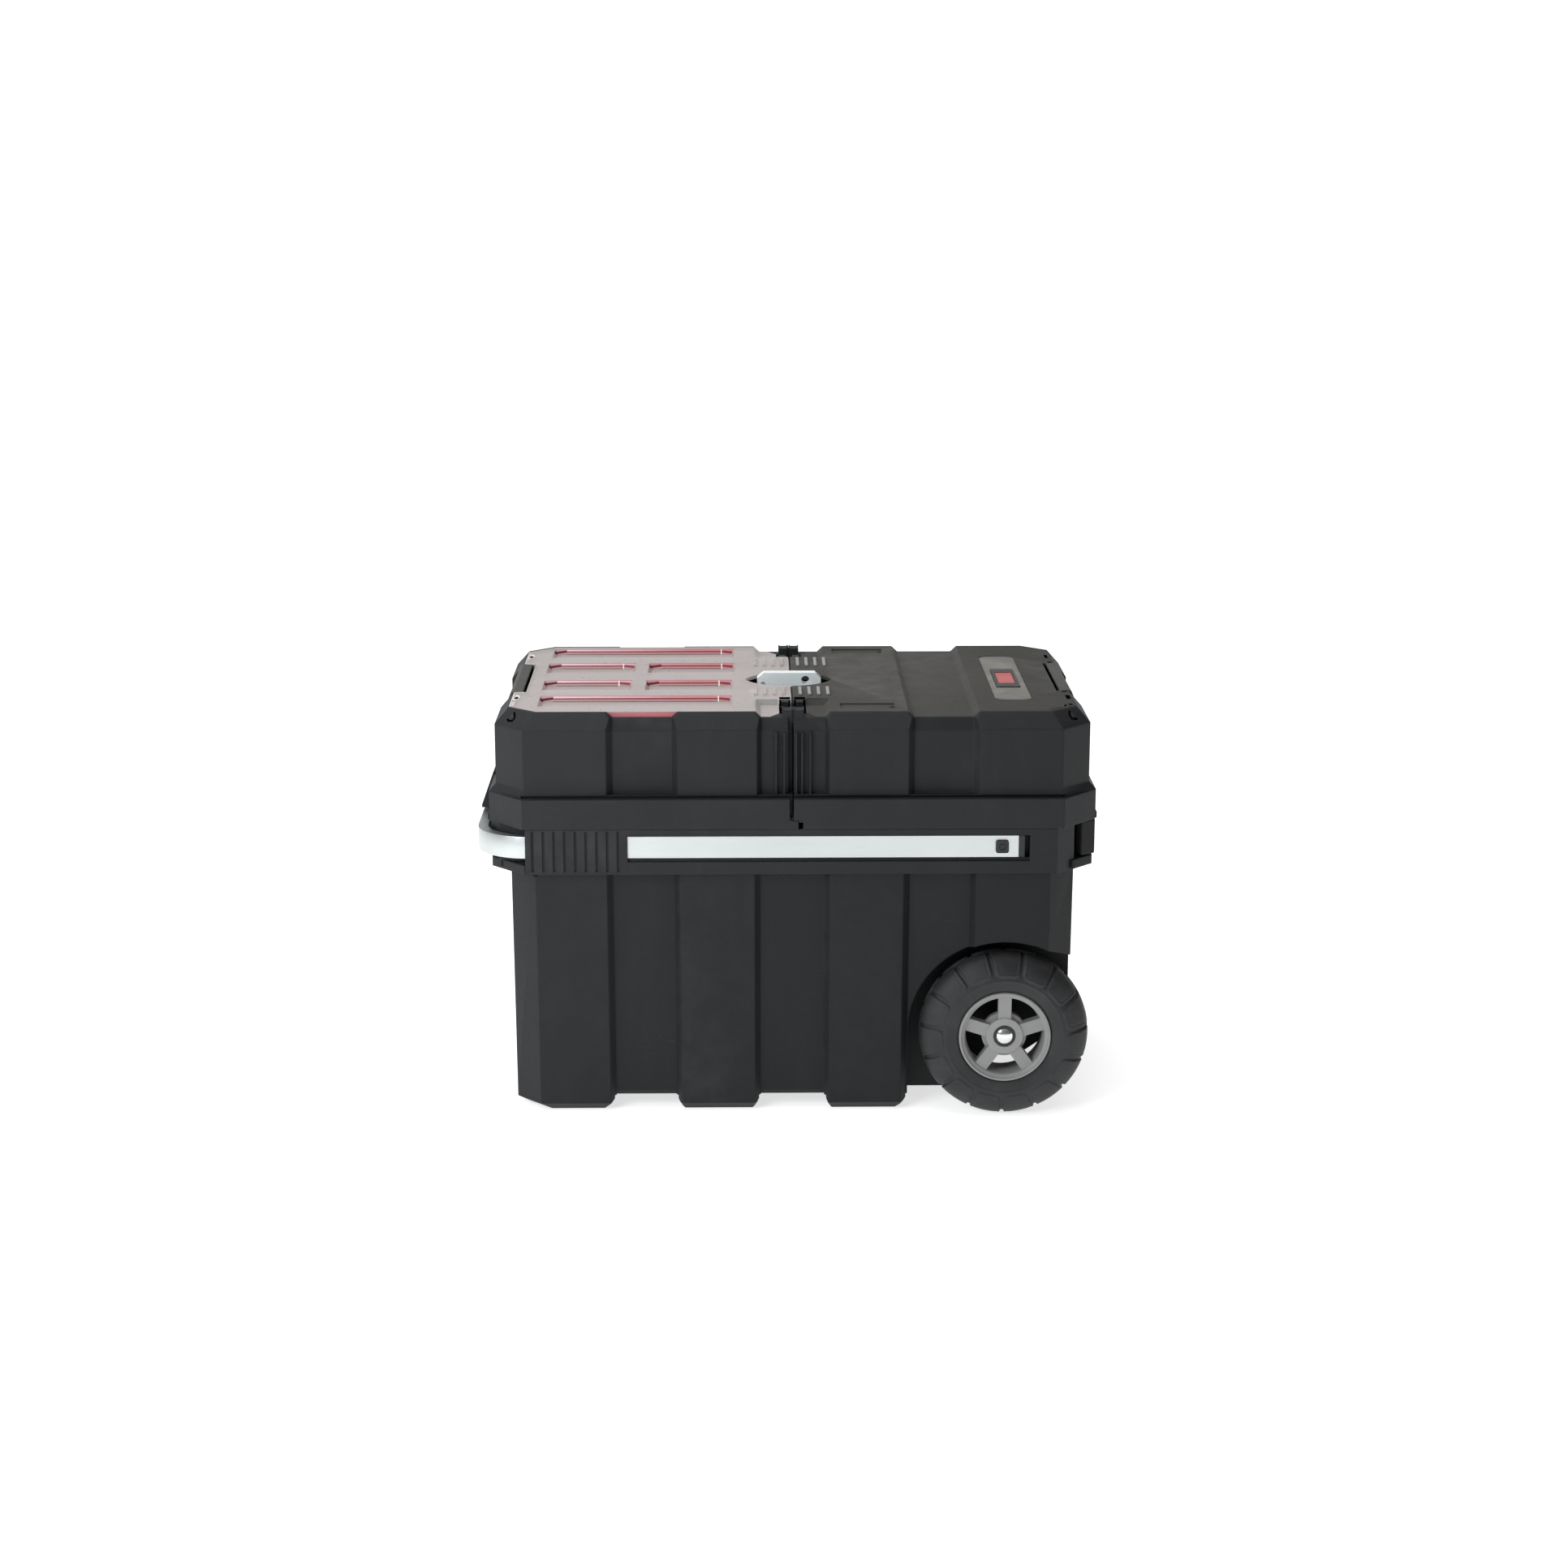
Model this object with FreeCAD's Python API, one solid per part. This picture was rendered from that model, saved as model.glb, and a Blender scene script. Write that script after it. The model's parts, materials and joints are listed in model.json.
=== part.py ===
import FreeCAD, Part
import math
import os

os.makedirs("parts", exist_ok=True)
V = FreeCAD.Vector

# Rolling job box: a deep lower bin on two wheels, a U-shaped pull handle that
# slides in the bin's rim, and two upper trays that slide apart on steel rails,
# each with its own lid, latch and a shared steel lock hasp.
# X runs along the box (handle end is -X, wheel end +X), Y is depth (front is -Y).

# ---- driving dimensions, mm ----
SHIFT_X = 6.0            # the box is drawn about its centre split, then centred on its length
BIN_Z = 252.0            # top of the bin's tapered walls
RIM_Z = 297.0            # top of the bin's rim
BIN_R0, BIN_R1 = 157.6, 176.3   # half depth over the raised panels, over the chamfer and at BIN_Z
BIN_XE = 275.0           # half length of the bin
WALL = 3.0
STEP = 8.0               # depth of the recessed bays in the walls
FOOT_CH = 8.5            # height of the chamfer round the feet
BIN_PANELS = [(-250.0, -181.0), (-109.4, -37.6), (35.9, 107.1), (178.3, 250.0)]
WHEEL_X, WHEEL_R = 208.2, 83.7
ARCH_R = 94.0
WELL_Y = 127.0           # well wall, half distance
AXLE_R = 5.0
SKIRT_Y, SKIRT_X = 189.0, 295.5
BODY_Y, BODY_X = 181.0, 288.5
TOP_Y, TOP_X = 168.4, 275.4
SKIRT_Z0, SKIRT_Z1 = 297.4, 327.0
SHOULDER_Z = 335.0
CREASE_Z, TOP_Z = 393.5, 408.5
BAY_TOP_Z = 403.0        # top of the wall in the bays
SEAT_Z = 399.8           # ledge the lids sit over
SPLIT = 0.4              # half gap between the trays
FLOOR_Z0, FLOOR_Z1 = 307.0, 310.0
HINGE_X, HINGE_Z = 7.5, 406.0
TOWER_Y0, TOWER_Y1, TOWER_X, TOWER_Z = 150.5, 166.6, 10.6, 409.4   # hinge towers by the split
PIN_R = 1.6
LID_Y, LID_X = 164.6, 272.0
LID_Z0, LID_T = 400.2, 3.0
LID_BAND_R, LID_BAND_L, LID_DIP = 5.5, 0.0, 5.3   # how far the bands and dips in the lids lie below their top
LATCH_X, LATCH_Z, LATCH_W = 270.0, 404.5, 70.0
BAR_Y, BAR_T, BAR_Z0, BAR_Z1 = 184.0, 10.0, 267.6, 289.4
BAR_X, BAR_BEND = -308.0, 52.0
BAR_END = 218.0
GUIDE_Y, GUIDE_X0 = 187.0, -258.8
WIN_X0, WIN_X1 = -160.0, 228.7
HASP_Y, HASP_X0, HASP_X1, HASP_Z0, HASP_Z1 = -10.0, -33.9, 30.4, 402.0, 416.2
HASP_HOLE = (14.8, 408.9)
LENS_X, LENS_Y, LENS_A, LENS_B = -2.3, -9.6, 44.0, 34.0   # eye-shaped lock recess
GAP_X = -4.6             # the left tray stops here, which leaves a slot by the split


def put(name, shape):
    if shape.ShapeType == "Compound" and len(shape.Solids) == 1:
        shape = shape.Solids[0]
    shape = shape.copy()
    shape.translate(V(SHIFT_X, 0, 0))
    shape.exportStep("parts/%s.step" % name)
    print("%-24s solids %d valid %s vol %.0f" % (name, len(shape.Solids), shape.isValid(), shape.Volume))


def box(x0, x1, y0, y1, z0, z1):
    return Part.makeBox(x1 - x0, y1 - y0, z1 - z0, V(x0, y0, z0))


def wire(pts, z):
    p = [V(x, y, z) for x, y in pts]
    return Part.makePolygon(p + [p[0]])


def prism(pts, z0, z1):
    return Part.Face(wire(pts, z0)).extrude(V(0, 0, z1 - z0))


def xz_prism(pts, y0, y1):
    p = [V(x, y0, z) for x, z in pts]
    return Part.Face(Part.makePolygon(p + [p[0]])).extrude(V(0, y1 - y0, 0))


def yz_prism(pts, x0, x1):
    p = [V(x0, y, z) for y, z in pts]
    return Part.Face(Part.makePolygon(p + [p[0]])).extrude(V(x1 - x0, 0, 0))


def loft(pa, za, pb, zb):
    return Part.makeLoft([wire(pa, za), wire(pb, zb)], True, True)


def cyl_y(x, z, r, y0, y1):
    return Part.makeCylinder(r, y1 - y0, V(x, y0, z), V(0, 1, 0))


def fuse(*s):
    out = s[0]
    if len(s) > 1:
        out = out.fuse(list(s[1:]))
    return out.removeSplitter()


def mx(shape):
    return shape.mirror(V(0, 0, 0), V(1, 0, 0))


def my(shape):
    return shape.mirror(V(0, 0, 0), V(0, 1, 0))


# ---------------------------------------------------------------- lower bin
def bin_plan(r, c, xe, inset=0.0, side=0.0):
    """Stepped outline: r half depth on the raised panels, c in the bays."""
    k = 25.0
    front = [(-xe, -(r - k))]
    for a, b in BIN_PANELS:
        lo, hi = a + side, b - side
        if a == BIN_PANELS[0][0]:
            front += [(-xe + k, -r), (hi, -r), (hi + 6.0, -c)]
        elif b == BIN_PANELS[-1][1]:
            front += [(lo - 6.0, -c), (lo, -r), (xe - k, -r)]
        else:
            front += [(lo - 6.0, -c), (lo, -r), (hi, -r), (hi + 6.0, -c)]
    front += [(xe, -(r - k))]
    back = [(x, -y) for x, y in reversed(front)]
    return front + back


def arch(r, y0, y1):
    """Wheel opening: round over the wheel, straight down in front of it."""
    disc = cyl_y(WHEEL_X, WHEEL_R, r, y0, y1)
    g = r - ARCH_R
    disc = disc.fuse(xz_prism([(236, 174 + g), (245, 170.6 + g), (300, 145 + g), (300, 120), (236, 120)], y0, y1))
    low = box(WHEEL_X - r, WHEEL_X + r + 20, y0, y1, -5, WHEEL_R)
    return disc.fuse(low)


outer = fuse(
    loft(bin_plan(BIN_R0 - 10, BIN_R0 - 10 - STEP, BIN_XE - 10), 0,
         bin_plan(BIN_R0, BIN_R0 - STEP, BIN_XE), FOOT_CH),
    loft(bin_plan(BIN_R0, BIN_R0 - STEP, BIN_XE), FOOT_CH,
         bin_plan(BIN_R1, BIN_R1 - STEP, BIN_XE), BIN_Z),
)
upper = [(-BIN_XE, -150), (-258, -166.8), (258, -166.8), (BIN_XE, -150),
         (BIN_XE, 150), (258, 166.8), (-258, 166.8), (-BIN_XE, 150)]
lip = [(-293.5, -150), (-259.5, -GUIDE_Y), (257, -GUIDE_Y), (293, -150),
       (293, 150), (257, GUIDE_Y), (-259.5, GUIDE_Y), (-293.5, 150)]
lip = prism(lip, BIN_Z, BIN_Z + 9.2)
under_guide = prism([(GUIDE_X0 - 0.05, -GUIDE_Y - 1), (262, -GUIDE_Y - 1), (274.0, -167.0), (274.0, -166.8), (GUIDE_X0 - 0.05, -166.8)], BIN_Z, RIM_Z)
corner = prism([(-274, -131), (-294.5, -131), (-294.5, -138), (-285, -160.5), (-270, -171), (-259.2, -173), (-259.2, -160), (-274, -148)], BIN_Z + 2, RIM_Z)
outer = fuse(outer, lip.cut([under_guide, my(under_guide)]), prism(upper, BIN_Z, RIM_Z))
corner_in = prism([(-278.2, -134.2), (-291.3, -134.2), (-291.3, -138.5), (-283.0, -158.0), (-275.0, -163.4), (-278.2, -152)], BIN_Z - 1, RIM_Z - 3)
outer = outer.cut([corner_in, my(corner_in)])
# feet stand 15 mm proud of the floor between the panels
for a, b, c, d in ((-186.7, -177.2, -113.6, -107.4), (-39.6, -33.4, 33.4, 38.6), (102.8, 112.6, 300, 300)):
    outer = outer.cut(xz_prism([(a - 1.2, -1), (a, 0.6), (b, 11.5), (b, 15), (c, 15), (c, 11.5), (d, 0.6), (d + 1.2, -1)], -200, 200))
    # the panel between the feet has a chamfered lower edge
    wedge = yz_prism([(-152, 14), (-147.0, 14), (-150.5, 20), (-152, 20)], b + 2, c - 2)
    if c < 200:
        outer = outer.cut([wedge, my(wedge)])
# underside lifts towards the wheel end, clear of the ground when tipped
rise = [(165, -1), (165, 15), (193, 50), (233, 52), (262, 72), (300, 90), (300, -1)]
outer = outer.cut(xz_prism(rise, -200, 200))
for s in (-1, 1):
    y0, y1 = (-210, -WELL_Y) if s < 0 else (WELL_Y, 210)
    outer = outer.cut(arch(ARCH_R, y0, y1))

t = WALL
inner = loft(bin_plan(BIN_R0 - t + 0.2, BIN_R0 - t - STEP + 0.2, BIN_XE - t, side=2.0), 18,
             bin_plan(BIN_R1 - t - 0.2, BIN_R1 - t - STEP - 0.2, BIN_XE - t, side=2.0), BIN_Z - 3)
keep = [xz_prism([(160, 10), (160, 18), (190, 54), (234, 55), (262, 75.5), (300, 94), (300, 10)], -200, 200)]
for s in (-1, 1):
    y0, y1 = (-210, -WELL_Y + t) if s < 0 else (WELL_Y - t, 210)
    keep.append(arch(ARCH_R + t, y0, y1))
# tunnel over the axle
keep.append(box(WHEEL_X - 11, WHEEL_X + 11, -WELL_Y, WELL_Y, 40, WHEEL_R + 12))
inner = inner.cut(keep)
inner = inner.Solids[0] if len(inner.Solids) == 1 else max(inner.Solids, key=lambda s: s.Volume)
# the feet are hollow from above
feet = [loft([(a + 6, -144.5), (b - 6, -144.5), (b - 6, 144.5), (a + 6, 144.5)], 3.2, [(a + 4, -150), (b - 4, -150), (b - 4, 150), (a + 4, 150)], 13)
        .fuse(prism([(a + 4, -152), (b - 4, -152), (b - 4, 152), (a + 4, 152)], 12.9, 18.5)) for a, b in ((-252, -183), (-107, -40), (38, 105))]
mouth = [(-BIN_XE + 4, -148), (-256, -163.6), (256, -163.6), (BIN_XE - 4, -148),
         (BIN_XE - 4, 148), (256, 163.6), (-256, 163.6), (-BIN_XE + 4, 148)]
outer = outer.cut([inner, prism(mouth, BIN_Z - 4, RIM_Z + 2)] + feet)
# axle groove under the tunnel and the holes through the well walls
outer = outer.cut([box(WHEEL_X - 7, WHEEL_X + 7, -WELL_Y + t, WELL_Y - t, 30, WHEEL_R + 8),
                   cyl_y(WHEEL_X, WHEEL_R, 8.05, -WELL_Y - 1, WELL_Y + 1)])
outer = outer.cut([box(-252.5, -248.0, -180, -173, BIN_Z - 3.6, BIN_Z + 1), box(-252.5, -248.0, 173, 180, BIN_Z - 3.6, BIN_Z + 1)])
outer = outer.removeSplitter()
# the bin is made in two, joined along the foot of the third panel
BIN_JOIN = 113.1
wheel_end = box(BIN_JOIN, 400, -300, 300, -10, 400).fuse(box(110.9, 400, -146.2, 146.2, -10, 250))
bin_shell = outer.cut(wheel_end).removeSplitter()
put("bin_shell", bin_shell)
put("bin_wheel_end", outer.common(wheel_end).removeSplitter())
# hollow corner blocks inside the bends of the pull bar
block = corner.cut([corner_in, bin_shell]).removeSplitter()
block = max(block.Solids, key=lambda q: q.Volume)
put("handle_corner_front", block)
put("handle_corner_rear", my(block))

# handle guides along the front and rear rim, ribbed at the handle end
guide_plan = [(GUIDE_X0, -GUIDE_Y), (255, -GUIDE_Y), (273.5, -167.2), (GUIDE_X0, -167.2)]
guide = prism(guide_plan, BIN_Z + 0.05, RIM_Z)
guide = guide.cut([box(-262, WIN_X1, -BAR_Y - 0.4, -BAR_Y + BAR_T + 0.4, BAR_Z0 - 0.4, BAR_Z1 + 0.4),
                   box(WIN_X0, WIN_X1, -GUIDE_Y - 1, -BAR_Y, 264.6, 290.2)])
grooves = [box(-252.5 + i * 10.3, -250.3 + i * 10.3, -GUIDE_Y - 1, -GUIDE_Y + 1.4, BIN_Z + 3, RIM_Z - 2) for i in range(9)]
guide = guide.cut(grooves)
guide_front = guide.removeSplitter()
put("handle_guide_front", guide_front)
put("handle_guide_rear", my(guide_front))

bumper = prism([(276.5, -155), (281.5, -160), (295.5, -149.5), (295.5, 149.5), (281.5, 160), (276.5, 155)], 262.5, RIM_Z)
bumper = bumper.cut(box(280, 300, -60, 60, 268, 291))
put("end_bumper", bumper)

# steel slide rails, angle section, on the inside of the rim
rail = yz_prism([(-163.4, 272), (-161.4, 272), (-161.4, 301), (-153.4, 301), (-153.4, 303), (-163.4, 303)], -254, 254)
rail = rail.cut([cyl_y(x, 284, 2.6, -170, -150) for x in (-220, -110, 0, 110, 220)])
put("slide_rail_front", rail)
put("slide_rail_rear", my(rail))
screws = []
for x in (-220, -110, 0, 110, 220):
    for s in (-1, 1):
        a = cyl_y(x, 284, 2.5, -163.4, -161.4).fuse(Part.makeSphere(7, V(x, -166.2, 284)).common(box(x - 9, x + 9, -161.4, -150, 270, 300)))
        screws.append(a if s < 0 else my(a))
put("rail_screws", Part.makeCompound(screws))

axle = cyl_y(WHEEL_X, WHEEL_R, AXLE_R, -176.5, 176.5)
put("axle", axle)
for name, s in (("front", -1), ("rear", 1)):
    # flanged bush in the well wall, spacer between it and the hub
    bush = fuse(cyl_y(WHEEL_X, WHEEL_R, 8.0, -128.6, -123.0), cyl_y(WHEEL_X, WHEEL_R, 12.0, -129.4, -127.05))
    bush = bush.cut(cyl_y(WHEEL_X, WHEEL_R, AXLE_R + 0.05, -140, -110))
    spacer = cyl_y(WHEEL_X, WHEEL_R, 9.0, -132.6, -129.45).cut(cyl_y(WHEEL_X, WHEEL_R, AXLE_R + 0.1, -140, -110))
    # dark collar and domed steel push cap that hold the wheel on
    collar = cyl_y(WHEEL_X, WHEEL_R, 10.9, -176.9, -174.7).cut(cyl_y(WHEEL_X, WHEEL_R, AXLE_R + 0.05, -190, -110))
    dome = Part.makeSphere(14.0, V(WHEEL_X, -166.2, WHEEL_R)).common(cyl_y(WHEEL_X, WHEEL_R, 7.7, -181, -176.95))
    for n, sh in (("axle_bush_", bush), ("wheel_spacer_", spacer), ("axle_collar_", collar), ("axle_cap_", dome)):
        put(n + name, sh if s < 0 else my(sh))

# ---------------------------------------------------------------- wheels
def revolve_y(profile, x, z):
    """profile: (radius, y) points, turned about the axle."""
    p = [V(x + r, y, z) for r, y in profile]
    f = Part.Face(Part.makePolygon(p + [p[0]]))
    return f.revolve(V(x, 0, z), V(0, 1, 0), 360)


tyre_profile = [(45.4, -176), (45.4, -180), (52, -182.2), (60, -182.6), (66, -180.5), (74, -177), (80, -172.5), (83, -167), (WHEEL_R, -160),
                (WHEEL_R, -155), (83, -148), (80, -142.5), (74, -138), (60, -133.4), (52, -133.8), (46.9, -136), (45.4, -138.6)]
tyre = revolve_y(tyre_profile, WHEEL_X, WHEEL_R)
# tread: cross grooves between the lugs, the inner row half a pitch on
cuts = []
for i in range(15):
    for y0, y1, ph in ((-184, -159.2, 12), (-156.8, -132, 0)):
        g = box(-2.1, 2.1, y0, y1, 81.4, 90)
        g.rotate(V(0, 0, 0), V(0, 1, 0), i * 24 + ph)
        g.translate(V(WHEEL_X, 0, WHEEL_R))
        cuts.append(g)
tyre = tyre.cut(cuts)
barrel = revolve_y([(42.3, -180.0), (43.1, -182.4), (44.7, -182.4), (45.3, -180.6), (45.3, -136), (46.7, -134), (42.7, -134), (41.2, -138), (37.4, -166), (39.6, -178.6)], WHEEL_X, WHEEL_R)
hub = fuse(cyl_y(WHEEL_X, WHEEL_R, 18.2, -178.2, -170), cyl_y(WHEEL_X, WHEEL_R, 22.2, -171.4, -162), cyl_y(WHEEL_X, WHEEL_R, 12.5, -178, -132.7))
web = []
for a in (90, 18, 162, 234, 306):
    s = box(12, 40.6, -176.8, -166.0, -6.5, 6.5)
    s.rotate(V(0, 0, 0), V(0, -1, 0), a)
    s.translate(V(WHEEL_X, 0, WHEEL_R))
    web.append(s)
rim = fuse(barrel, hub, *web)
rim = rim.cut([cyl_y(WHEEL_X, WHEEL_R, AXLE_R + 0.06, -200, -120), cyl_y(WHEEL_X, WHEEL_R, 11.0, -179, -174.6)])
for name, s in (("front", -1), ("rear", 1)):
    put("tyre_" + name, tyre if s < 0 else my(tyre))
    put("wheel_rim_" + name, rim if s < 0 else my(rim))

# ---------------------------------------------------------------- pull handle
def u_bar(inset, z0, z1, y_extra=0.0):
    o, i = inset, BAR_T - inset
    cx, cy = BAR_X + BAR_BEND, BAR_Y - BAR_BEND
    parts = [box(BAR_X + o, BAR_X + i, -cy, cy, z0, z1)]
    for s in (-1, 1):
        y0, y1 = (-BAR_Y + o, -BAR_Y + i) if s < 0 else (BAR_Y - i, BAR_Y - o)
        parts.append(box(cx, BAR_END, y0, y1, z0, z1))
        ring = Part.makeCylinder(BAR_BEND - o, z1 - z0, V(cx, s * cy, z0)).cut(
            Part.makeCylinder(BAR_BEND - i, z1 - z0, V(cx, s * cy, z0)))
        q = box(cx - 60, cx, -cy - 60, -cy, z0, z1) if s < 0 else box(cx - 60, cx, cy, cy + 60, z0, z1)
        parts.append(ring.common(q))
    return fuse(*parts)


bar = u_bar(0, BAR_Z0, BAR_Z1)
core = u_bar(1.9, BAR_Z0 + 1.9, BAR_Z1 - 1.9)
bar = bar.cut(core)
put("handle_bar", bar.removeSplitter())
for name, s in (("front", -1), ("rear", 1)):
    cap = fuse(box(BAR_END, 223.8, -BAR_Y, -BAR_Y + BAR_T, BAR_Z0, BAR_Z1),
               box(BAR_END - 14, BAR_END, -BAR_Y + 2.1, -BAR_Y + BAR_T - 2.1, BAR_Z0 + 2.1, BAR_Z1 - 2.1))
    btn = box(195.7, 208.3, -BAR_Y - 2.3, -BAR_Y - 0.05, BAR_Z0 + 4.6, BAR_Z0 + 17.2)
    btn = btn.makeFillet(2.4, [e for e in btn.Edges if abs(e.BoundBox.YLength) > 2])
    btn = btn.cut(cyl_y(202, BAR_Z0 + 10.9, 3.4, -187, -BAR_Y - 1.3)).fuse(cyl_y(202, BAR_Z0 + 10.9, 2.4, -BAR_Y - 2.0, -BAR_Y - 1.3))
    put("handle_endcap_" + name, cap if s < 0 else my(cap))
    put("handle_stop_" + name, btn if s < 0 else my(btn))

# ---------------------------------------------------------------- upper trays (drawn for +X, mirrored for -X)
BAYS = ((117.0, 174.0, 111.0, 180.0), (-30.7, 30.7, -35.0, 35.0))


def outline(xe, ye, cx, cy, x0=SPLIT):
    """Plan of one tray, from the split to the end, corner chamfered at (cx, ye)-(xe, cy)."""
    return [(x0, -ye), (cx, -ye), (xe, -cy), (xe, cy), (cx, ye), (x0, ye)]


def bay_cut(depth_y, z0, z1, top_y, z2, grow=0.0):
    """Recessed bays in the front wall, leaning in at the top."""
    out = []
    for a, b, a2, b2 in BAYS:
        a, b, a2, b2 = a + grow, b - grow, a2 + grow, b2 - grow
        k = (b2 - b) / (BODY_Y - depth_y)
        e = BODY_Y + 1 - depth_y
        lower = [(b + k * e, -BODY_Y - 1), (b, -depth_y), (a, -depth_y), (a - k * e, -BODY_Y - 1)]
        out.append(prism(lower, z0, z1))
        e2 = BODY_Y + 1 - top_y
        upper_p = [(b + k * e, -BODY_Y - 1), (b, -top_y), (a, -top_y), (a - k * e, -BODY_Y - 1)]
        out.append(loft(lower, z1, upper_p, z2))
        wide = [(b + 6 + k * e, -BODY_Y - 1), (b + 6, -top_y), (a - 6, -top_y), (a - 6 - k * e, -BODY_Y - 1)]
        out.append(loft(upper_p, z2, wide, z2 + 5.6))
    return out


def tray_shell():
    sk = outline(SKIRT_X, SKIRT_Y, 261, 150)
    bd = outline(BODY_X, BODY_Y, 259.5, 150)
    tp = outline(TOP_X, TOP_Y, 249, 144)
    s = fuse(prism(sk, SKIRT_Z0, SKIRT_Z1),
             loft(outline(SKIRT_X, BODY_Y + 0.6, 261, 150), SKIRT_Z1, bd, SHOULDER_Z),
             prism(bd, SKIRT_Z0, CREASE_Z), loft(bd, CREASE_Z, tp, TOP_Z))
    cuts = bay_cut(173.5, 329.5, 391.0, 166.6, BAY_TOP_Z)
    s = s.cut(cuts + [my(c) for c in cuts])
    # shadow groove over the skirt
    groove = prism(outline(SKIRT_X - 10, BODY_Y + 20, 400, 150), SKIRT_Z1, SKIRT_Z1 + 1.6).cut(
        prism(outline(SKIRT_X, BODY_Y - 1.6, 259, 148), SKIRT_Z1 - 1, SKIRT_Z1 + 3))
    groove = groove.common(box(-1, 262, -200, 200, 300, 340))
    s = s.cut(groove)
    # hollow: thin walls that follow the bays, drawn in at the top
    w = 2.8
    cav = prism(outline(BODY_X - w, BODY_Y - w, 258, 148.5, SPLIT + 3), FLOOR_Z1, CREASE_Z - 4)
    cavtop = loft(outline(BODY_X - w, BODY_Y - w, 258, 148.5, SPLIT + 3), CREASE_Z - 4,
                  outline(TOP_X - 6.4, TOP_Y - 6.6, 246, 142, SPLIT + 3), 398)
    cav = cav.fuse(cavtop).fuse(prism(outline(TOP_X - 6.4, TOP_Y - 6.6, 246, 142, SPLIT + 3), 398, 412))
    fill = bay_cut(173.5 - w, 305, 391.0, 166.6 - w, BAY_TOP_Z, grow=-2.4)
    cav = cav.cut(fill + [my(c) for c in fill])
    under = prism(outline(SKIRT_X - w, SKIRT_Y - w, 260, 149, -1), SKIRT_Z0 - 1, FLOOR_Z0)
    seat = prism(outline(LID_X + 0.4, LID_Y + 0.4, 247.3, 142.6, -1), SEAT_Z, 412)
    # the end wall steps in behind the latch
    cav = cav.cut(box(276.6, 292, -74.3, 74.3, 342.2, 412))
    s = s.cut([cav, under, seat, box(279.4, 292, -LATCH_W - 1.5, LATCH_W + 1.5, 345, 412)])
    # in the bays the wall stays low, so the lid's edge shows over it
    for a, b in [q[:2] for q in BAYS]:
        low = loft([(a, -167), (b, -167), (b, -164.2), (a, -164.2)], BAY_TOP_Z, [(a - 6, -167), (b + 6, -167), (b + 6, -164.2), (a - 6, -164.2)], BAY_TOP_Z + 5.6)
        s = s.cut([low, my(low)])
    # the rim is lower beside the latch, under the ears of the lid
    low = prism([(271.5, 71.0), (277.8, 71.0), (277.8, 137.5), (275.5, 139.6), (271.9, 142.9), (271.5, 142.9)], TOP_Z - 1.2, TOP_Z + 1)
    s = s.cut([low, my(low)])
    # the end wall dips where the latch comes over it
    s = s.cut(box(262, 292, -LATCH_W - 1.5, LATCH_W + 1.5, 392.3, 412))
    # small lip under the end of the skirt
    s = s.fuse(box(SKIRT_X - 1, SKIRT_X + 1.5, -149, 149, 298, 304))
    # bulkhead, lock deck and hinge posts by the split
    part = [box(50, 52.4, -170.3, 170.3, FLOOR_Z1 - 0.5, 395), box(SPLIT, 52.4, LENS_Y - 33.4, LENS_Y + 33.4, 393, 396)]
    s = s.fuse(part)
    # the inner end wall stops under the lids
    s = s.cut(box(-1, 3.6, -TOWER_Y0, TOWER_Y0, 397, 420))
    part = []
    for sy in (-1, 1):
        t = [box(SPLIT + 0.2, TOWER_X, TOWER_Y0, TOWER_Y1, 375, TOWER_Z),
             prism([(SPLIT + 0.2, TOWER_Y0), (12.7, TOWER_Y0), (21.6, 165.2), (21.6, TOWER_Y1), (SPLIT + 0.2, TOWER_Y1)], 396, BAY_TOP_Z),
             box(3.7, TOWER_X, 109.7, 121, 375, 408.2), box(SPLIT + 0.2, 5, 109.7, 121, 375, 396.9)]
        # small peaks along the top of the tower
        t += [box(SPLIT + 0.2, SPLIT + 1.4, TOWER_Y0, TOWER_Y1, TOWER_Z - 1, TOWER_Z + 0.9), box(TOWER_X - 1.2, TOWER_X, TOWER_Y0, TOWER_Y1, TOWER_Z - 1, TOWER_Z + 0.9)]
        part += t if sy > 0 else [my(q) for q in t]
    s = s.fuse(part)
    # fins in the middle bay
    fins = []
    for x in (3.0, 8.6, 16.4):
        for sy in (-1, 1):
            y0, y1 = (-178.6, -173.0) if sy < 0 else (173.0, 178.6)
            fins.append(box(x - 0.9, x + 0.9, y0, y1, 329.4, 390.5))
    s = s.fuse(fins)
    for sy in (-1, 1):
        y0, y1 = (-122, -100) if sy < 0 else (100, 122)
        s = s.cut(cyl_y(HINGE_X, HINGE_Z, PIN_R + 0.02, y0, y1))
    return s.removeSplitter()


base = tray_shell()
right_tray, left_tray = base, mx(base)
# the two skirts step past each other over the bottom of the split
tongue, notch, slot, web = [], [], [], []
for m in (lambda q: q, my):
    tongue.append(m(box(-0.5, 5.0, -SKIRT_Y, -SKIRT_Y + 2.8, SKIRT_Z0, 305.6)))
    notch += [m(box(-1, 5.4, -SKIRT_Y - 1, -SKIRT_Y + 3.2, SKIRT_Z0 - 1, 306.0)), m(box(-1, 9.4, -SKIRT_Y - 1, -SKIRT_Y + 3.2, SKIRT_Z0 - 1, 304.2))]
    # the left tray stands back from the split, so a deep slot shows down the front and back
    slot += [m(box(GAP_X, 0.1, -190, -165.8, 329.4, 402.9)), m(box(-3.3, 0.1, -190, -181.5, 306.3, 330))]
    web += [m(box(GAP_X - 2.8, GAP_X, -172.0, -163.0, FLOOR_Z1 - 0.5, 396.5)), m(box(GAP_X - 2.8, -SPLIT, -165.8, -163.0, FLOOR_Z1 - 0.5, 396.5))]
left_tray = left_tray.fuse(web).cut(slot).fuse(tongue)
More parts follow.
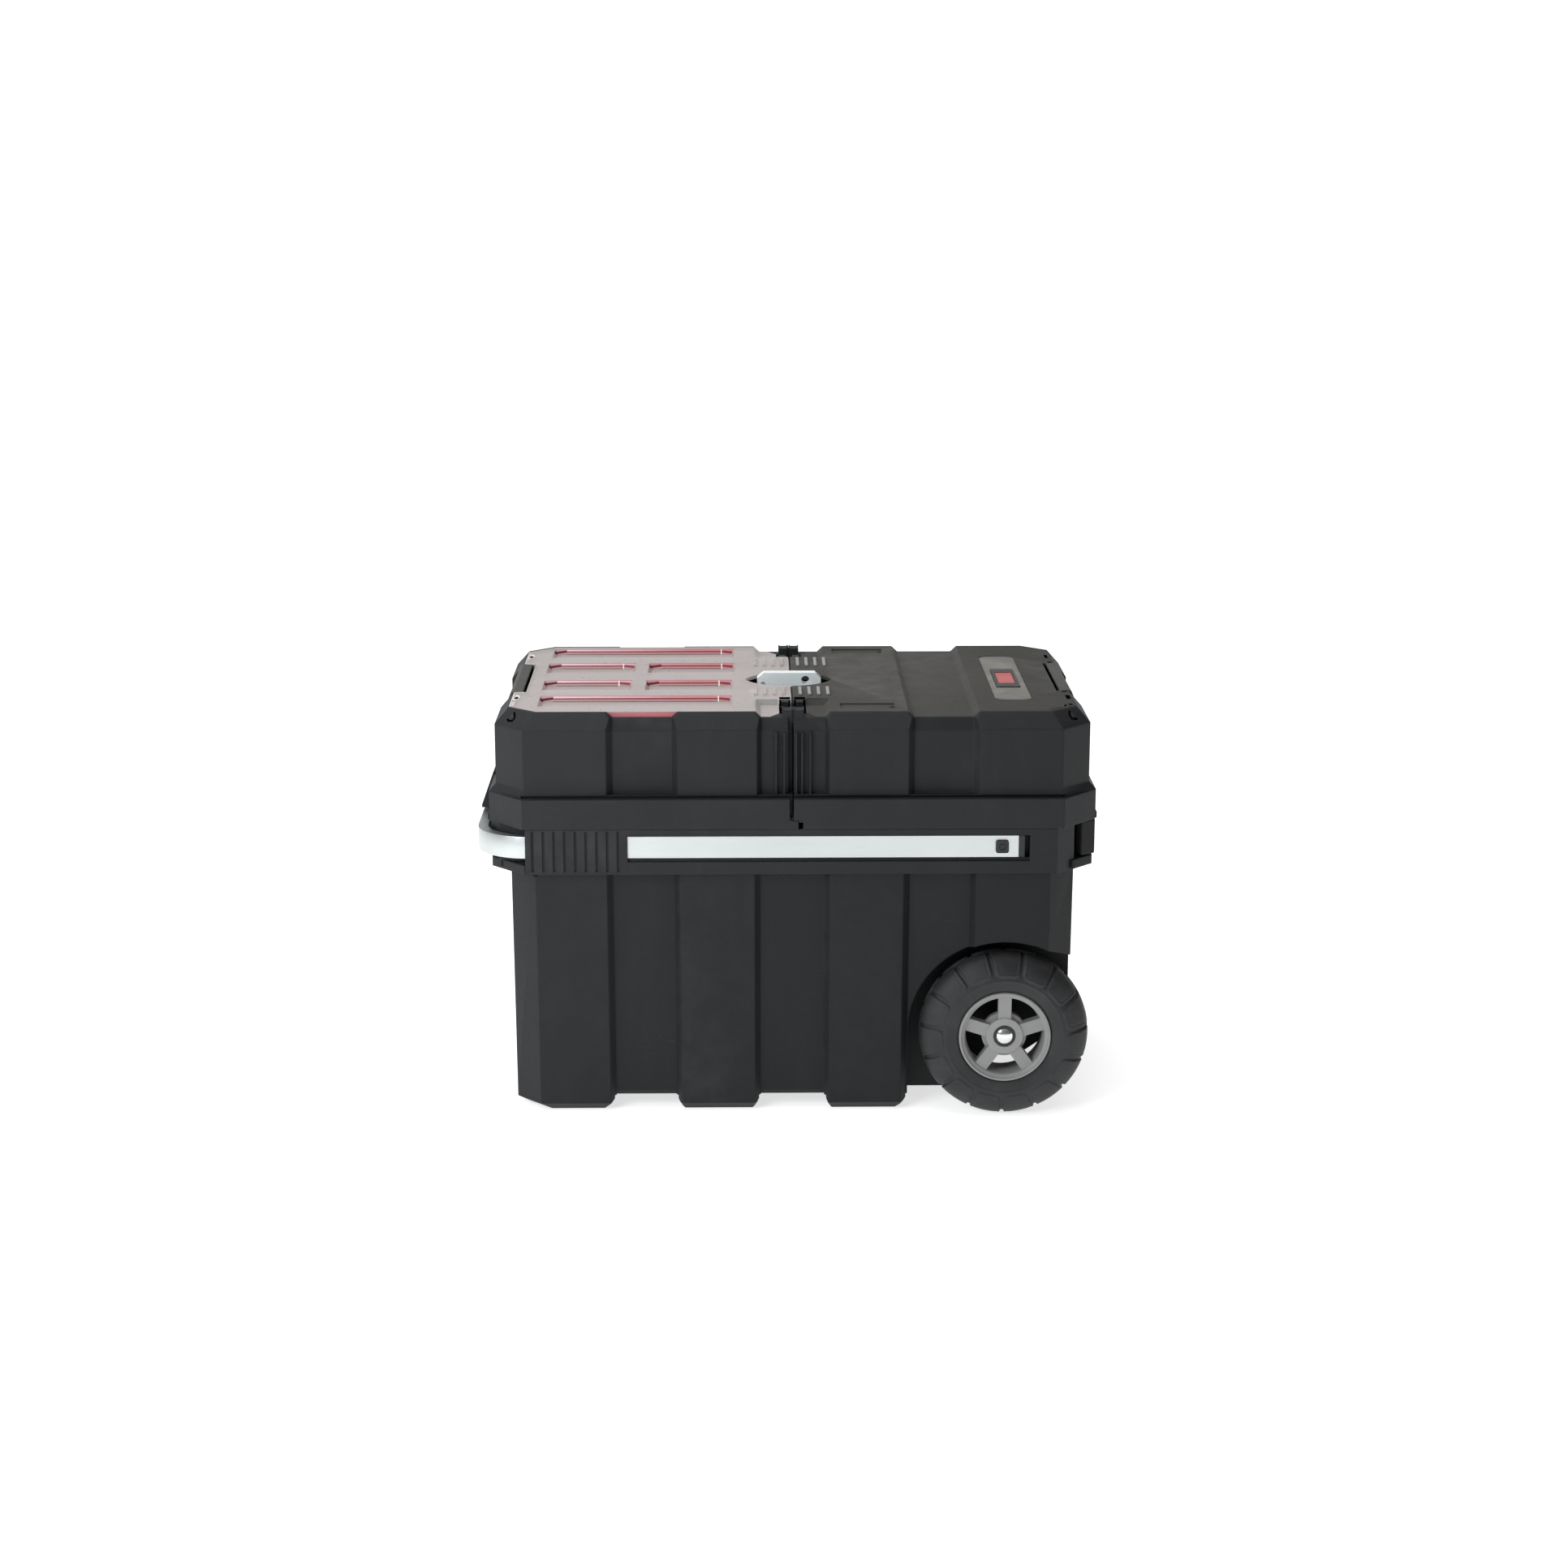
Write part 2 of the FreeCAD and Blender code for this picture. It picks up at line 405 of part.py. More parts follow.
right_tray = right_tray.cut(notch)
put("left_tray", left_tray.removeSplitter())
# right tray carries two cross walls
walls = [box(52.4, 277.6, -58.7, -56.5, FLOOR_Z1 - 0.5, 372), box(168, 170.2, -57, 170, FLOOR_Z1 - 0.5, 372)]
right_tray = right_tray.fuse(walls)
put("right_tray", right_tray.removeSplitter())

hood = xz_prism([(-297.2, 329), (-295.7, 329), (-295.7, 296), (-297.5, 293.2), (-309, 293.2), (-309, 296)], -80, 80)
cheek = [(-297.0, 329), (-295.7, 329), (-295.7, 304.5), (-297.6, 304.5), (-297.6, 297.5), (-297.5, 296), (-309, 296)]
hood = hood.fuse([xz_prism(cheek, -80, -77.4), xz_prism(cheek, 77.4, 80)])
hood = hood.cut(box(-297.3, -295, -81, 81, 297.7, 304.3))
put("left_pull_hood", hood)

runner = box(8, 262, -168, -149.6, 298, FLOOR_Z0)
runner = runner.cut([box(0, 300, -164.0, -152.8, 300.5, 303.6), box(0, 300, -164.0, -160.8, 297, 300.6)])
put("right_runner_front", runner)
put("right_runner_rear", my(runner))
put("left_runner_front", mx(runner))
put("left_runner_rear", mx(my(runner)))

hinge_pins = [cyl_y(HINGE_X, HINGE_Z, PIN_R, -120.8, -95.5), cyl_y(HINGE_X, HINGE_Z, PIN_R, 95.5, 120.8)]
put("right_hinge_pins", Part.makeCompound(hinge_pins))
put("left_hinge_pins", Part.makeCompound([mx(p) for p in hinge_pins]))

# loose parts bins in the left tray
def cup(x0, x1, y0, y1, z0, z1, w=1.6):
    a = box(x0, x1, y0, y1, z0, z1)
    a = a.makeFillet(5, [e for e in a.Edges if abs(e.BoundBox.ZLength) > 20])
    b = box(x0 + w, x1 - w, y0 + w, y1 - w, z0 + w, z1 + 1)
    b = b.makeFillet(3.6, [e for e in b.Edges if abs(e.BoundBox.ZLength) > 20])
    lipw = box(x0 - 1, x1 + 1, y0 - 1, y1 + 1, z1 - 1.6, z1).cut(box(x0 + w, x1 - w, y0 + w, y1 - w, z1 - 2, z1 + 1))
    return a.fuse(lipw).cut(b).removeSplitter()


CUP_Z0, CUP_Z1 = FLOOR_Z1 + 0.3, 394.0
rows = [("front", -160.5, -73.0), ("rear", 97.0, 160.5)]
for n, y0, y1 in rows:
    put("parts_bin_long_" + n, cup(-256, -55, y0, y1, CUP_Z0, CUP_Z1))
for n, y0, y1 in (("front", -68.5, 9.0), ("rear", 13.5, 92.5)):
    put("parts_bin_outer_" + n, cup(-262, -158, y0, y1, CUP_Z0, CUP_Z1))
    put("parts_bin_inner_" + n, cup(-153.5, -55, y0, y1, CUP_Z0, CUP_Z1))
put("right_tote", cup(60, 160, -52, 156, CUP_Z0, 366, 2.0))

# ---------------------------------------------------------------- lids
def lens(cx, x_half, y_half, z0, z1):
    r = (x_half ** 2 + y_half ** 2) / (2 * y_half)
    a = Part.makeCylinder(r, z1 - z0, V(cx, LENS_Y + r - y_half, z0))
    b = Part.makeCylinder(r, z1 - z0, V(cx, LENS_Y - (r - y_half), z0))
    return a.common(b)


def lid_blank(band_drop, lens_x):
    o = outline(LID_X, LID_Y, 247, 142.3, 0.8)
    i = outline(LID_X - 2.6, LID_Y - 2.6, 245.8, 141.2, 11.0)
    s = prism(o, LID_Z0, TOP_Z).cut(prism(i, LID_Z0 - 1, TOP_Z - LID_T))
    # a band across the lid lies lower than the rest, and so do the front and back by the hinge
    d = band_drop
    solid_band = prism([(108, -LID_Y), (183, -LID_Y), (183, LID_Y), (108, LID_Y)], TOP_Z - d - LID_T + 0.2, TOP_Z) if d else box(108, 112, -150, 150, TOP_Z - LID_T - 2.5, TOP_Z)
    solid_dip = [box(11, 38, -LID_Y, -101, LID_Z0, TOP_Z), box(11, 38, 101, LID_Y, LID_Z0, TOP_Z)]
    s = s.fuse([solid_band] + solid_dip)
    band = [(111, TOP_Z + 1), (111, TOP_Z), (116.5, TOP_Z - d), (174, TOP_Z - d), (180, TOP_Z), (180, TOP_Z + 1)]
    if d:
        s = s.cut(xz_prism(band, -170, 170))
    hollow = [(114 + 0.6 * d, LID_Z0 - 1), (114 + 0.6 * d, TOP_Z - d - LID_T), (176 - 0.6 * d, TOP_Z - d - LID_T), (176 - 0.6 * d, LID_Z0 - 1)]
    if d and TOP_Z - d - LID_T > LID_Z0 + 0.5:
        s = s.cut(xz_prism(hollow, -LID_Y + 2.6, LID_Y - 2.6))
    for sy in (-1, 1):
        a = [(-1, sy * 105), (36, sy * 105), (36, sy * 170), (-1, sy * 170)]
        b = [(-1, sy * 111), (31, sy * 111), (31, sy * 170), (-1, sy * 170)]
        if sy > 0:
            a, b = a[::-1], b[::-1]
        s = s.cut(loft(b, TOP_Z - LID_DIP, a, TOP_Z + 0.01))
    # hinge post and latch clearances
    pocket = prism([(0, 109.2), (13.2, 109.2), (13.2, 149.9), (22.2, 165), (22.2, 170), (0, 170)], 395, 415)
    s = s.cut([pocket, my(pocket),
               box(LID_X - 8.6, LID_X + 2, -LATCH_W - 0.6, LATCH_W + 0.6, 395, 415)])
    rim_ = [box(LID_X - 11.6, LID_X - 8.8, -LATCH_W - 3, LATCH_W + 3, LID_Z0 + 0.6, TOP_Z - 1)]
    rim_.append(lens(lens_x, LENS_A + 3, LENS_B + 3, LID_Z0 + 0.9, TOP_Z - 1).common(box(0.8, 60, -60, 50, 390, 420)))
    s = s.fuse(rim_)
    s = s.cut(lens(lens_x, LENS_A, LENS_B, 390, 420))
    # ears over the rim of the tray on both sides of the latch
    wing = prism([(LID_X - 1, LATCH_W + 1.4), (TOP_X - 0.2, LATCH_W + 1.4), (TOP_X - 0.2, 139.4), (LID_X, 142.3), (LID_X - 1, 142.3)], TOP_Z - 0.9, TOP_Z)
    s = s.fuse([wing, my(wing)])
    # lugs that carry the latch pin
    lug = []
    for sy in (-1, 1):
        y0, y1 = (-LATCH_W - 5.6, -LATCH_W - 0.6) if sy < 0 else (LATCH_W + 0.6, LATCH_W + 5.6)
        lug.append(box(LID_X - 7.2, LID_X, y0, y1, LID_Z0, TOP_Z - 1))
    # solid hinge knuckles next to each post
    kn = [box(1.6, 13.0, 96, 109.2, 401.1, TOP_Z - 0.01), box(1.6, 13.0, -109.2, -96, 401.1, TOP_Z - 0.01)]
    s = s.fuse(lug + kn)
    # finger bars
    bars = []
    for sy in (-1, 1):
        for x in (8.4, 17.4, 26.6, 35.8):
            y0, y1 = (-91.0, -54.6) if sy < 0 else (56.0, 97.5)
            bars.append(box(x - 1.6, x + 1.6, y0, y1, TOP_Z - 0.2, TOP_Z + 1.8))
    s = s.fuse(bars)
    cuts = [box(0, 13.0, -170, 170, LID_Z0 - 1, 401.1)]
    for sy in (-1, 1):
        cuts.append(cyl_y(HINGE_X, HINGE_Z, PIN_R + 0.06, -164.7, -95) if sy < 0 else cyl_y(HINGE_X, HINGE_Z, PIN_R + 0.06, 95, 164.7))
        cuts.append(cyl_y(LATCH_X, LATCH_Z, 1.52, -76, -70) if sy < 0 else cyl_y(LATCH_X, LATCH_Z, 1.52, 70, 76))
    return s.cut(cuts).removeSplitter()


# clear lid: six moulded troughs hang below the top skin
lid_l = lid_blank(LID_BAND_L, -LENS_X)
TROUGHS = [(58, 249, 107, 154), (57, 146, 25, 76), (159, 250, 25, 76), (59, 146, -61, -13), (160, 249, -61, -13), (59, 248, -140, -90)]
tub, hole = [], []
for x0, x1, y0, y1 in TROUGHS:
    tub.append(box(x0 - 0.6, x1 + 0.6, y0 + 2, y1 - 2, TOP_Z - 6.8, TOP_Z - LID_T + 0.2))
    hole.append(loft([(x0 + 3, y0 + 9), (x1 - 3, y0 + 9), (x1 - 3, y1 - 9), (x0 + 3, y1 - 9)], TOP_Z - 4.4,
                     [(x0, y0), (x1, y0), (x1, y1), (x0, y1)], TOP_Z + 0.01))
lid_l = lid_l.fuse(tub).cut(hole)
put("left_lid", mx(lid_l.removeSplitter()))

lid_r = lid_blank(LID_BAND_R, LENS_X)
slot = [box(46, 99, -152, -128, TOP_Z - 1.6, TOP_Z + 3), box(46, 99, 128, 152, TOP_Z - 1.6, TOP_Z + 3)]


def pill(x0, x1, y0, y1, z0, z1, r):
    b = box(x0, x1, y0, y1, z0, z1)
    return b.makeFillet(r, [e for e in b.Edges if e.BoundBox.ZLength > (z1 - z0) * 0.9])


slot.append(pill(199, 236, -113, 111, TOP_Z - 2.2, TOP_Z + 3, 12))
back = box(196, 239, -116, 114, TOP_Z - 4.8, TOP_Z - 2.6)
lid_r = lid_r.fuse(back).cut(slot)
put("right_lid", lid_r.removeSplitter())
put("lid_plate", pill(199.4, 235.6, -112.6, 110.6, TOP_Z - 2.15, TOP_Z - 0.5, 11.6).cut(box(205.5, 229.5, -52, 37.5, 400, 412)))
frame = pill(205.8, 229.2, -51.7, 37.2, TOP_Z - 2.15, TOP_Z + 0.6, 3).cut(pill(209, 226, -34, 20, TOP_Z - 1.2, TOP_Z + 2, 2))
put("badge_frame", frame)
put("badge_insert", pill(209.3, 225.7, -33.7, 19.7, TOP_Z - 1.15, TOP_Z + 0.2, 1.8))

# ---------------------------------------------------------------- latches
lp = [(266.2, 402.6), (266.2, 407.9), (267.0, 408.7), (275.6, 409.3), (278.6, 407.8), (282.2, 399.5), (283.0, 393.0), (283.0, 350.5),
      (282.0, 348.5), (280.2, 348.5), (280.2, 394.0), (278.6, 398.4), (275.6, 401.2), (270.2, 400.8), (267.8, 401.0)]
latch = xz_prism(lp, -LATCH_W, LATCH_W)
latch = latch.cut([cyl_y(LATCH_X, LATCH_Z, 1.56, -80, 80), box(282.2, 286, -52, 52, 356, 366)])
put("right_latch", latch)
put("left_latch", mx(latch))
pin = cyl_y(LATCH_X, LATCH_Z, 1.5, -75.6, 75.6)
put("right_latch_pin", pin)
put("left_latch_pin", mx(pin))

# ---------------------------------------------------------------- lock hasp
h = 6.0
prof = [(HASP_X0, 406), (HASP_X0, 410.6), (HASP_X0 + 6.5, HASP_Z1), (HASP_X1 - 6.0, HASP_Z1), (HASP_X1, 410.4), (HASP_X1, 406), (HASP_X1 - 4.5, HASP_Z0), (HASP_X0 + 5, HASP_Z0)]
hasp = xz_prism(prof, HASP_Y - h, HASP_Y + h)
gap = xz_prism([(HASP_X0 - 1, HASP_Z0 - 1), (HASP_X0 - 1, 409.3), (HASP_X0 + 1.2, 409.6), (HASP_X0 + 7.3, HASP_Z1 - 1.6), (HASP_X1 + 1, HASP_Z1 - 1.6), (HASP_X1 + 1, HASP_Z0 - 1)], HASP_Y - h + 1.8, HASP_Y + h - 1.8)
hasp = hasp.cut([gap, cyl_y(HASP_HOLE[0], HASP_HOLE[1], 4.2, -20, 0), cyl_y(-28.4, 405.6, 2.04, -20, 0)])
put("lock_hasp", hasp.removeSplitter())
bracket = fuse(box(-42, -13, -20, 0, 396.1, 397.9), xz_prism([(-31.9, 397), (-31.9, 405.6), (-30.4, 408.0), (-26.4, 408.0), (-23.9, 405.6), (-23.9, 397)], HASP_Y - 3.8, HASP_Y + 3.8))
bracket = bracket.cut(cyl_y(-28.4, 405.6, 2.02, -20, 0))
put("hasp_bracket", bracket)
put("hasp_pin", cyl_y(-28.4, 405.6, 2.0, -16.8, -3.2))
lug = fuse(box(4, 26, -20, 0, 396.1, 397.9), xz_prism([(7.4, 397), (7.4, 411), (10.4, 414.3), (19.2, 414.3), (22.2, 411), (22.2, 397)], HASP_Y - 2.0, HASP_Y + 2.0))
lug = lug.cut([cyl_y(HASP_HOLE[0], HASP_HOLE[1], 4.2, -20, 0)])
put("lock_lug", lug)
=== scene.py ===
import bpy, bmesh, math, json, random
from mathutils import Vector, Matrix, Euler, noise as mnoise


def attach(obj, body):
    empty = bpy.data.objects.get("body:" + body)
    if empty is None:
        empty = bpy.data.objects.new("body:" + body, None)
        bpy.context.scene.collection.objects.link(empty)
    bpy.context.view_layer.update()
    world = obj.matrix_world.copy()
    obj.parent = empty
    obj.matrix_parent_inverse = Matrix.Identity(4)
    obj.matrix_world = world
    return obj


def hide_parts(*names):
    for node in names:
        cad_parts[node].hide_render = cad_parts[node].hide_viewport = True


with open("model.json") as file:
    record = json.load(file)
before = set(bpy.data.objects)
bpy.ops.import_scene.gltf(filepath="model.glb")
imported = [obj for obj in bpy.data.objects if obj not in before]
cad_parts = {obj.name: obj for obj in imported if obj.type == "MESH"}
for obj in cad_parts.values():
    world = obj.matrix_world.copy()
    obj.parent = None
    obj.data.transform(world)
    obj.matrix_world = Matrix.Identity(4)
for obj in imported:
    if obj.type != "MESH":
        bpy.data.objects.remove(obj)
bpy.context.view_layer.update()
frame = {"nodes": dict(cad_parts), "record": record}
NODES = frame["nodes"]
DX = 0.006

# ------------------------------------------------------------------ materials
class Mat:
    """A small wrapper that keeps node building short."""

    def __init__(self, name):
        self.m = bpy.data.materials.new(name)
        self.m.use_nodes = True
        self.t = self.m.node_tree
        self.t.nodes.clear()
        self.out = self.t.nodes.new("ShaderNodeOutputMaterial")
        self.bsdf = self.t.nodes.new("ShaderNodeBsdfPrincipled")
        self.t.links.new(self.bsdf.outputs[0], self.out.inputs[0])
        self.co = self.t.nodes.new("ShaderNodeTexCoord").outputs["Object"]

    def new(self, kind, **kw):
        n = self.t.nodes.new(kind)
        for k, v in kw.items():
            setattr(n, k, v)
        return n

    def link(self, a, b):
        self.t.links.new(a, b)

    def mapping(self, scale=(1, 1, 1), rot=(0, 0, 0), loc=(0, 0, 0)):
        n = self.new("ShaderNodeMapping")
        n.inputs["Scale"].default_value = scale
        n.inputs["Rotation"].default_value = rot
        n.inputs["Location"].default_value = loc
        self.link(self.co, n.inputs["Vector"])
        return n.outputs[0]

    def noise(self, scale, detail=3.0, rough=0.55, vec=None, dist=0.0):
        n = self.new("ShaderNodeTexNoise")
        n.inputs["Scale"].default_value = scale
        n.inputs["Detail"].default_value = detail
        n.inputs["Roughness"].default_value = rough
        n.inputs["Distortion"].default_value = dist
        self.link(vec or self.co, n.inputs["Vector"])
        return n.outputs["Fac"]

    def ramp(self, fac, stops):
        n = self.new("ShaderNodeValToRGB")
        e = n.color_ramp.elements
        while len(e) < len(stops):
            e.new(0.5)
        for el, (p, c) in zip(e, stops):
            el.position = p
            el.color = (c, c, c, 1) if isinstance(c, (int, float)) else (*c, 1)
        self.link(fac, n.inputs[0])
        return n.outputs[0]

    def math(self, op, a, b=None, clamp=False):
        n = self.new("ShaderNodeMath", operation=op, use_clamp=clamp)
        for i, v in enumerate((a, b)):
            if v is None:
                continue
            if isinstance(v, (int, float)):
                n.inputs[i].default_value = v
            else:
                self.link(v, n.inputs[i])
        return n.outputs[0]

    def mix(self, fac, a, b, kind="MIX"):
        n = self.new("ShaderNodeMix", data_type="RGBA", blend_type=kind)
        for s, v in ((n.inputs[0], fac), (n.inputs[6], a), (n.inputs[7], b)):
            if isinstance(v, (int, float)):
                s.default_value = v
            elif isinstance(v, tuple):
                s.default_value = (*v, 1)
            else:
                self.link(v, s)
        return n.outputs[2]

    def rounded(self, radius):
        """Normals that turn over the corners of a moulding."""
        n = self.new("ShaderNodeBevel", samples=4)
        n.inputs["Radius"].default_value = radius
        return n.outputs[0]

    def along(self, axis, a, b):
        """0 to 1 along an object axis between a and b, in metres."""
        x = self.new("ShaderNodeSeparateXYZ")
        self.link(self.co, x.inputs[0])
        n = self.new("ShaderNodeMapRange")
        n.inputs["From Min"].default_value = a
        n.inputs["From Max"].default_value = b
        self.link(x.outputs[axis], n.inputs["Value"])
        return n.outputs[0]

    def bump(self, height, strength, dist=0.0002, chain=None):
        n = self.new("ShaderNodeBump")
        n.inputs["Strength"].default_value = strength
        n.inputs["Distance"].default_value = dist
        self.link(height, n.inputs["Height"])
        if chain is not None:
            self.link(chain, n.inputs["Normal"])
        return n.outputs[0]

    def set(self, **kw):
        for k, v in kw.items():
            s = self.bsdf.inputs[k.replace("_", " ")]
            if isinstance(v, (int, float)):
                s.default_value = v
            elif isinstance(v, tuple):
                s.default_value = (*v, 1) if len(v) == 3 and len(s.default_value) == 4 else v
            else:
                self.link(v, s)
        return self


def plastic(name, base, rough=0.5, grain=1400.0, bump=0.25, tone=0.16, streak=0.10, scuff=0.25, spec=0.35, edge_wear_and_highlight=0.5, warm=None, edge_r=0.0, painted_falloff=None, tips=None, end=None):
    """Moulded plastic: spark-eroded grain, flow streaks, handling scuffs, pale edges that are partly rubbed wear and
    partly painted highlight, and optional painted shade that darkens it along X.
    """
    k = Mat(name)
    broad = k.noise(7.0, 4.0, 0.6)
    flow = k.noise(26.0, 3.0, 0.6, k.mapping(scale=(1.0, 1.0, 0.18)), 0.4)
    fine = k.noise(grain, 2.0, 0.5)
    mid = k.noise(grain * 0.22, 2.0, 0.6)
    dark = tuple(c * (1 - tone) for c in base)
    light = tuple(c * (1 + tone) for c in (warm or base))
    col = k.mix(k.ramp(broad, [(0.3, 0.0), (0.7, 1.0)]), dark, light)
    col = k.mix(k.math("MULTIPLY", k.ramp(flow, [(0.48, 0.0), (0.75, 1.0)]), streak), col, tuple(min(1, c * 2.2 + 0.01) for c in base))
    # thin scratches
    scr = k.noise(60.0, 2.0, 0.5, k.mapping(scale=(0.6, 0.6, 9.0), rot=(0.2, 0.35, 0.1)), 1.0)
    scr = k.ramp(scr, [(0.66, 0.0), (0.70, 1.0), (0.72, 0.0)])
    patch = k.ramp(k.noise(11.0, 2.0), [(0.52, 0.0), (0.72, 1.0)])
    sc = k.math("MULTIPLY", k.math("MULTIPLY", scr, patch), scuff)
    col = k.mix(sc, col, tuple(min(1, c * 3 + 0.03) for c in base))
    # pale convex edges found by pointiness: partly rubbed wear, partly a painted highlight along the edges
    g = k.new("ShaderNodeNewGeometry").outputs["Pointiness"]
    edge = k.ramp(g, [(0.52, 0.0), (0.60, 1.0)])
    edge = k.math("MULTIPLY", k.math("MULTIPLY", edge, k.ramp(k.noise(45.0, 3.0), [(0.35, 0.2), (0.7, 1.0)])), edge_wear_and_highlight)
    col = k.mix(edge, col, tuple(min(1, c * 2.0 + 0.012) for c in base))
    r = k.math("ADD", k.math("MULTIPLY", mid, 0.16), rough - 0.08)
    r = k.math("ADD", r, k.math("MULTIPLY", k.ramp(broad, [(0.35, 0.0), (0.7, 1.0)]), 0.08), clamp=True)
    if painted_falloff:
        # painted shade: the tone darkens along X, away from the key light on the left
        col = k.mix(k.along("X", -0.26, 0.30), col, k.mix(1.0, col, (painted_falloff, painted_falloff, painted_falloff), "MULTIPLY"))
    if end:
        # and painted shade darkens it further towards the wheel end, away from the key light
        col = k.mix(k.along("X", 0.15, 0.26), col, k.mix(1.0, col, (end, end, end), "MULTIPLY"))
    if tips:
        # raised ribs are paler at their tops
        col = k.mix(k.math("MULTIPLY", k.along("Z", 0.4087, 0.4096), tips[1]), col, (tips[0], tips[0], tips[0] * 0.98))
    n = k.bump(fine, bump, 0.00012, k.rounded(edge_r) if edge_r else None)
    n = k.bump(mid, bump * 0.6, 0.0002, n)
    k.set(Base_Color=col, Roughness=r, Normal=n)
    k.bsdf.inputs["Specular IOR Level"].default_value = spec
    return k.m


def steel(name, base=(0.55, 0.60, 0.62), rough=0.28, tint=True, spangle=True, metal=1.0):
    """Bright zinc plate: faint crystal patches and a bluish-yellow passivation tint."""
    k = Mat(name)
    v = k.new("ShaderNodeTexVoronoi", feature="F1")
    v.inputs["Scale"].default_value = 260.0
    k.link(k.co, v.inputs["Vector"])
    cell = v.outputs["Distance"]
    cloud = k.noise(60.0, 4.0, 0.6, dist=0.8)
    col = k.mix(k.ramp(cloud, [(0.3, 0.0), (0.7, 1.0)]), tuple(c * 0.85 for c in base), tuple(min(1, c * 1.12) for c in base))
    if tint:
        col = k.mix(k.math("MULTIPLY", k.ramp(k.noise(34.0, 3.0, 0.5, dist=1.5), [(0.5, 0.0), (0.66, 1.0)]), 0.35), col, (0.62, 0.60, 0.45))
    brushed = k.noise(900.0, 2.0, 0.5, k.mapping(scale=(0.05, 1, 1)))
    r = k.math("ADD", k.math("MULTIPLY", brushed, 0.18), rough - 0.06)
    if spangle:
        r = k.math("ADD", r, k.math("MULTIPLY", cell, 0.12), clamp=True)
    k.set(Base_Color=col, Roughness=r, Metallic=metal, Normal=k.bump(brushed, 0.12, 0.0001))
    return k.m


def aluminium(name):
    k = Mat(name)
    lines = k.noise(1300.0, 2.0, 0.5, k.mapping(scale=(0.015, 0.015, 1.0)))
    cloud = k.noise(9.0, 3.0)
    col = k.mix(k.ramp(cloud, [(0.3, 0.0), (0.7, 1.0)]), (0.55, 0.58, 0.575), (0.62, 0.65, 0.645))
    col = k.mix(k.math("MULTIPLY", k.ramp(lines, [(0.55, 0.0), (0.75, 1.0)]), 0.25), col, (0.60, 0.62, 0.62))
    scr = k.ramp(k.noise(240.0, 2.0, 0.5, k.mapping(scale=(0.08, 1, 1))), [(0.70, 0.0), (0.74, 1.0)])
    col = k.mix(k.math("MULTIPLY", scr, 0.3), col, (0.5, 0.5, 0.5))
    r = k.math("ADD", k.math("MULTIPLY", lines, 0.20), 0.28)
    k.set(Base_Color=col, Roughness=r, Metallic=1.0, Normal=k.bump(lines, 0.15, 0.00008))
    return k.m


def rubber(name):
    k = Mat(name)
    broad = k.noise(22.0, 4.0, 0.6)
    fine = k.noise(1100.0, 2.0)
    col = k.mix(k.ramp(broad, [(0.35, 0.0), (0.7, 1.0)]), (0.0135, 0.0138, 0.0148), (0.0275, 0.0280, 0.0295))
    # pale dust that settles in the tread
    dust = k.ramp(k.noise(70.0, 5.0, 0.65), [(0.52, 0.0), (0.75, 1.0)])
    col = k.mix(k.math("MULTIPLY", dust, 0.07), col, (0.15, 0.15, 0.145))
    r = k.math("ADD", k.math("MULTIPLY", broad, 0.18), 0.48)
    k.set(Base_Color=col, Roughness=r, Normal=k.bump(fine, 0.3, 0.00015))
    k.bsdf.inputs["Specular IOR Level"].default_value = 0.42
    return k.m


def gloss(name, base, rough=0.2, alpha=1.0, spec=0.5):
    k = Mat(name)
    c = k.noise(16.0, 3.0)
    col = k.mix(k.ramp(c, [(0.3, 0.0), (0.7, 1.0)]), tuple(x * 0.85 for x in base), tuple(min(1, x * 1.12) for x in base))
    fine = k.noise(500.0, 2.0)
    r = k.math("ADD", k.math("MULTIPLY", k.noise(45.0, 3.0), 0.14), rough - 0.05)
    k.set(Base_Color=col, Roughness=r, Normal=k.bump(fine, 0.05, 0.0001))
    k.bsdf.inputs["Specular IOR Level"].default_value = spec
    return k.m


def clear_lid(name):
    """Hazy clear polycarbonate, slightly pink where the red bins stand under it."""
    k = Mat(name)
    cloud = k.noise(9.0, 3.0, 0.6, k.mapping(scale=(0.5, 4.0, 1.0)))
    col = k.mix(k.ramp(cloud, [(0.3, 0.0), (0.7, 1.0)]), (0.655, 0.60, 0.582), (0.74, 0.675, 0.655))
    r = k.math("ADD", k.math("MULTIPLY", k.noise(80.0, 3.0), 0.16), 0.22)
    k.set(Base_Color=col, Roughness=r, Normal=k.bump(k.noise(420.0, 2.0), 0.06, 0.0001))
    k.bsdf.inputs["Specular IOR Level"].default_value = 0.5
    k.bsdf.inputs["Alpha"].default_value = 0.62
    return k.m


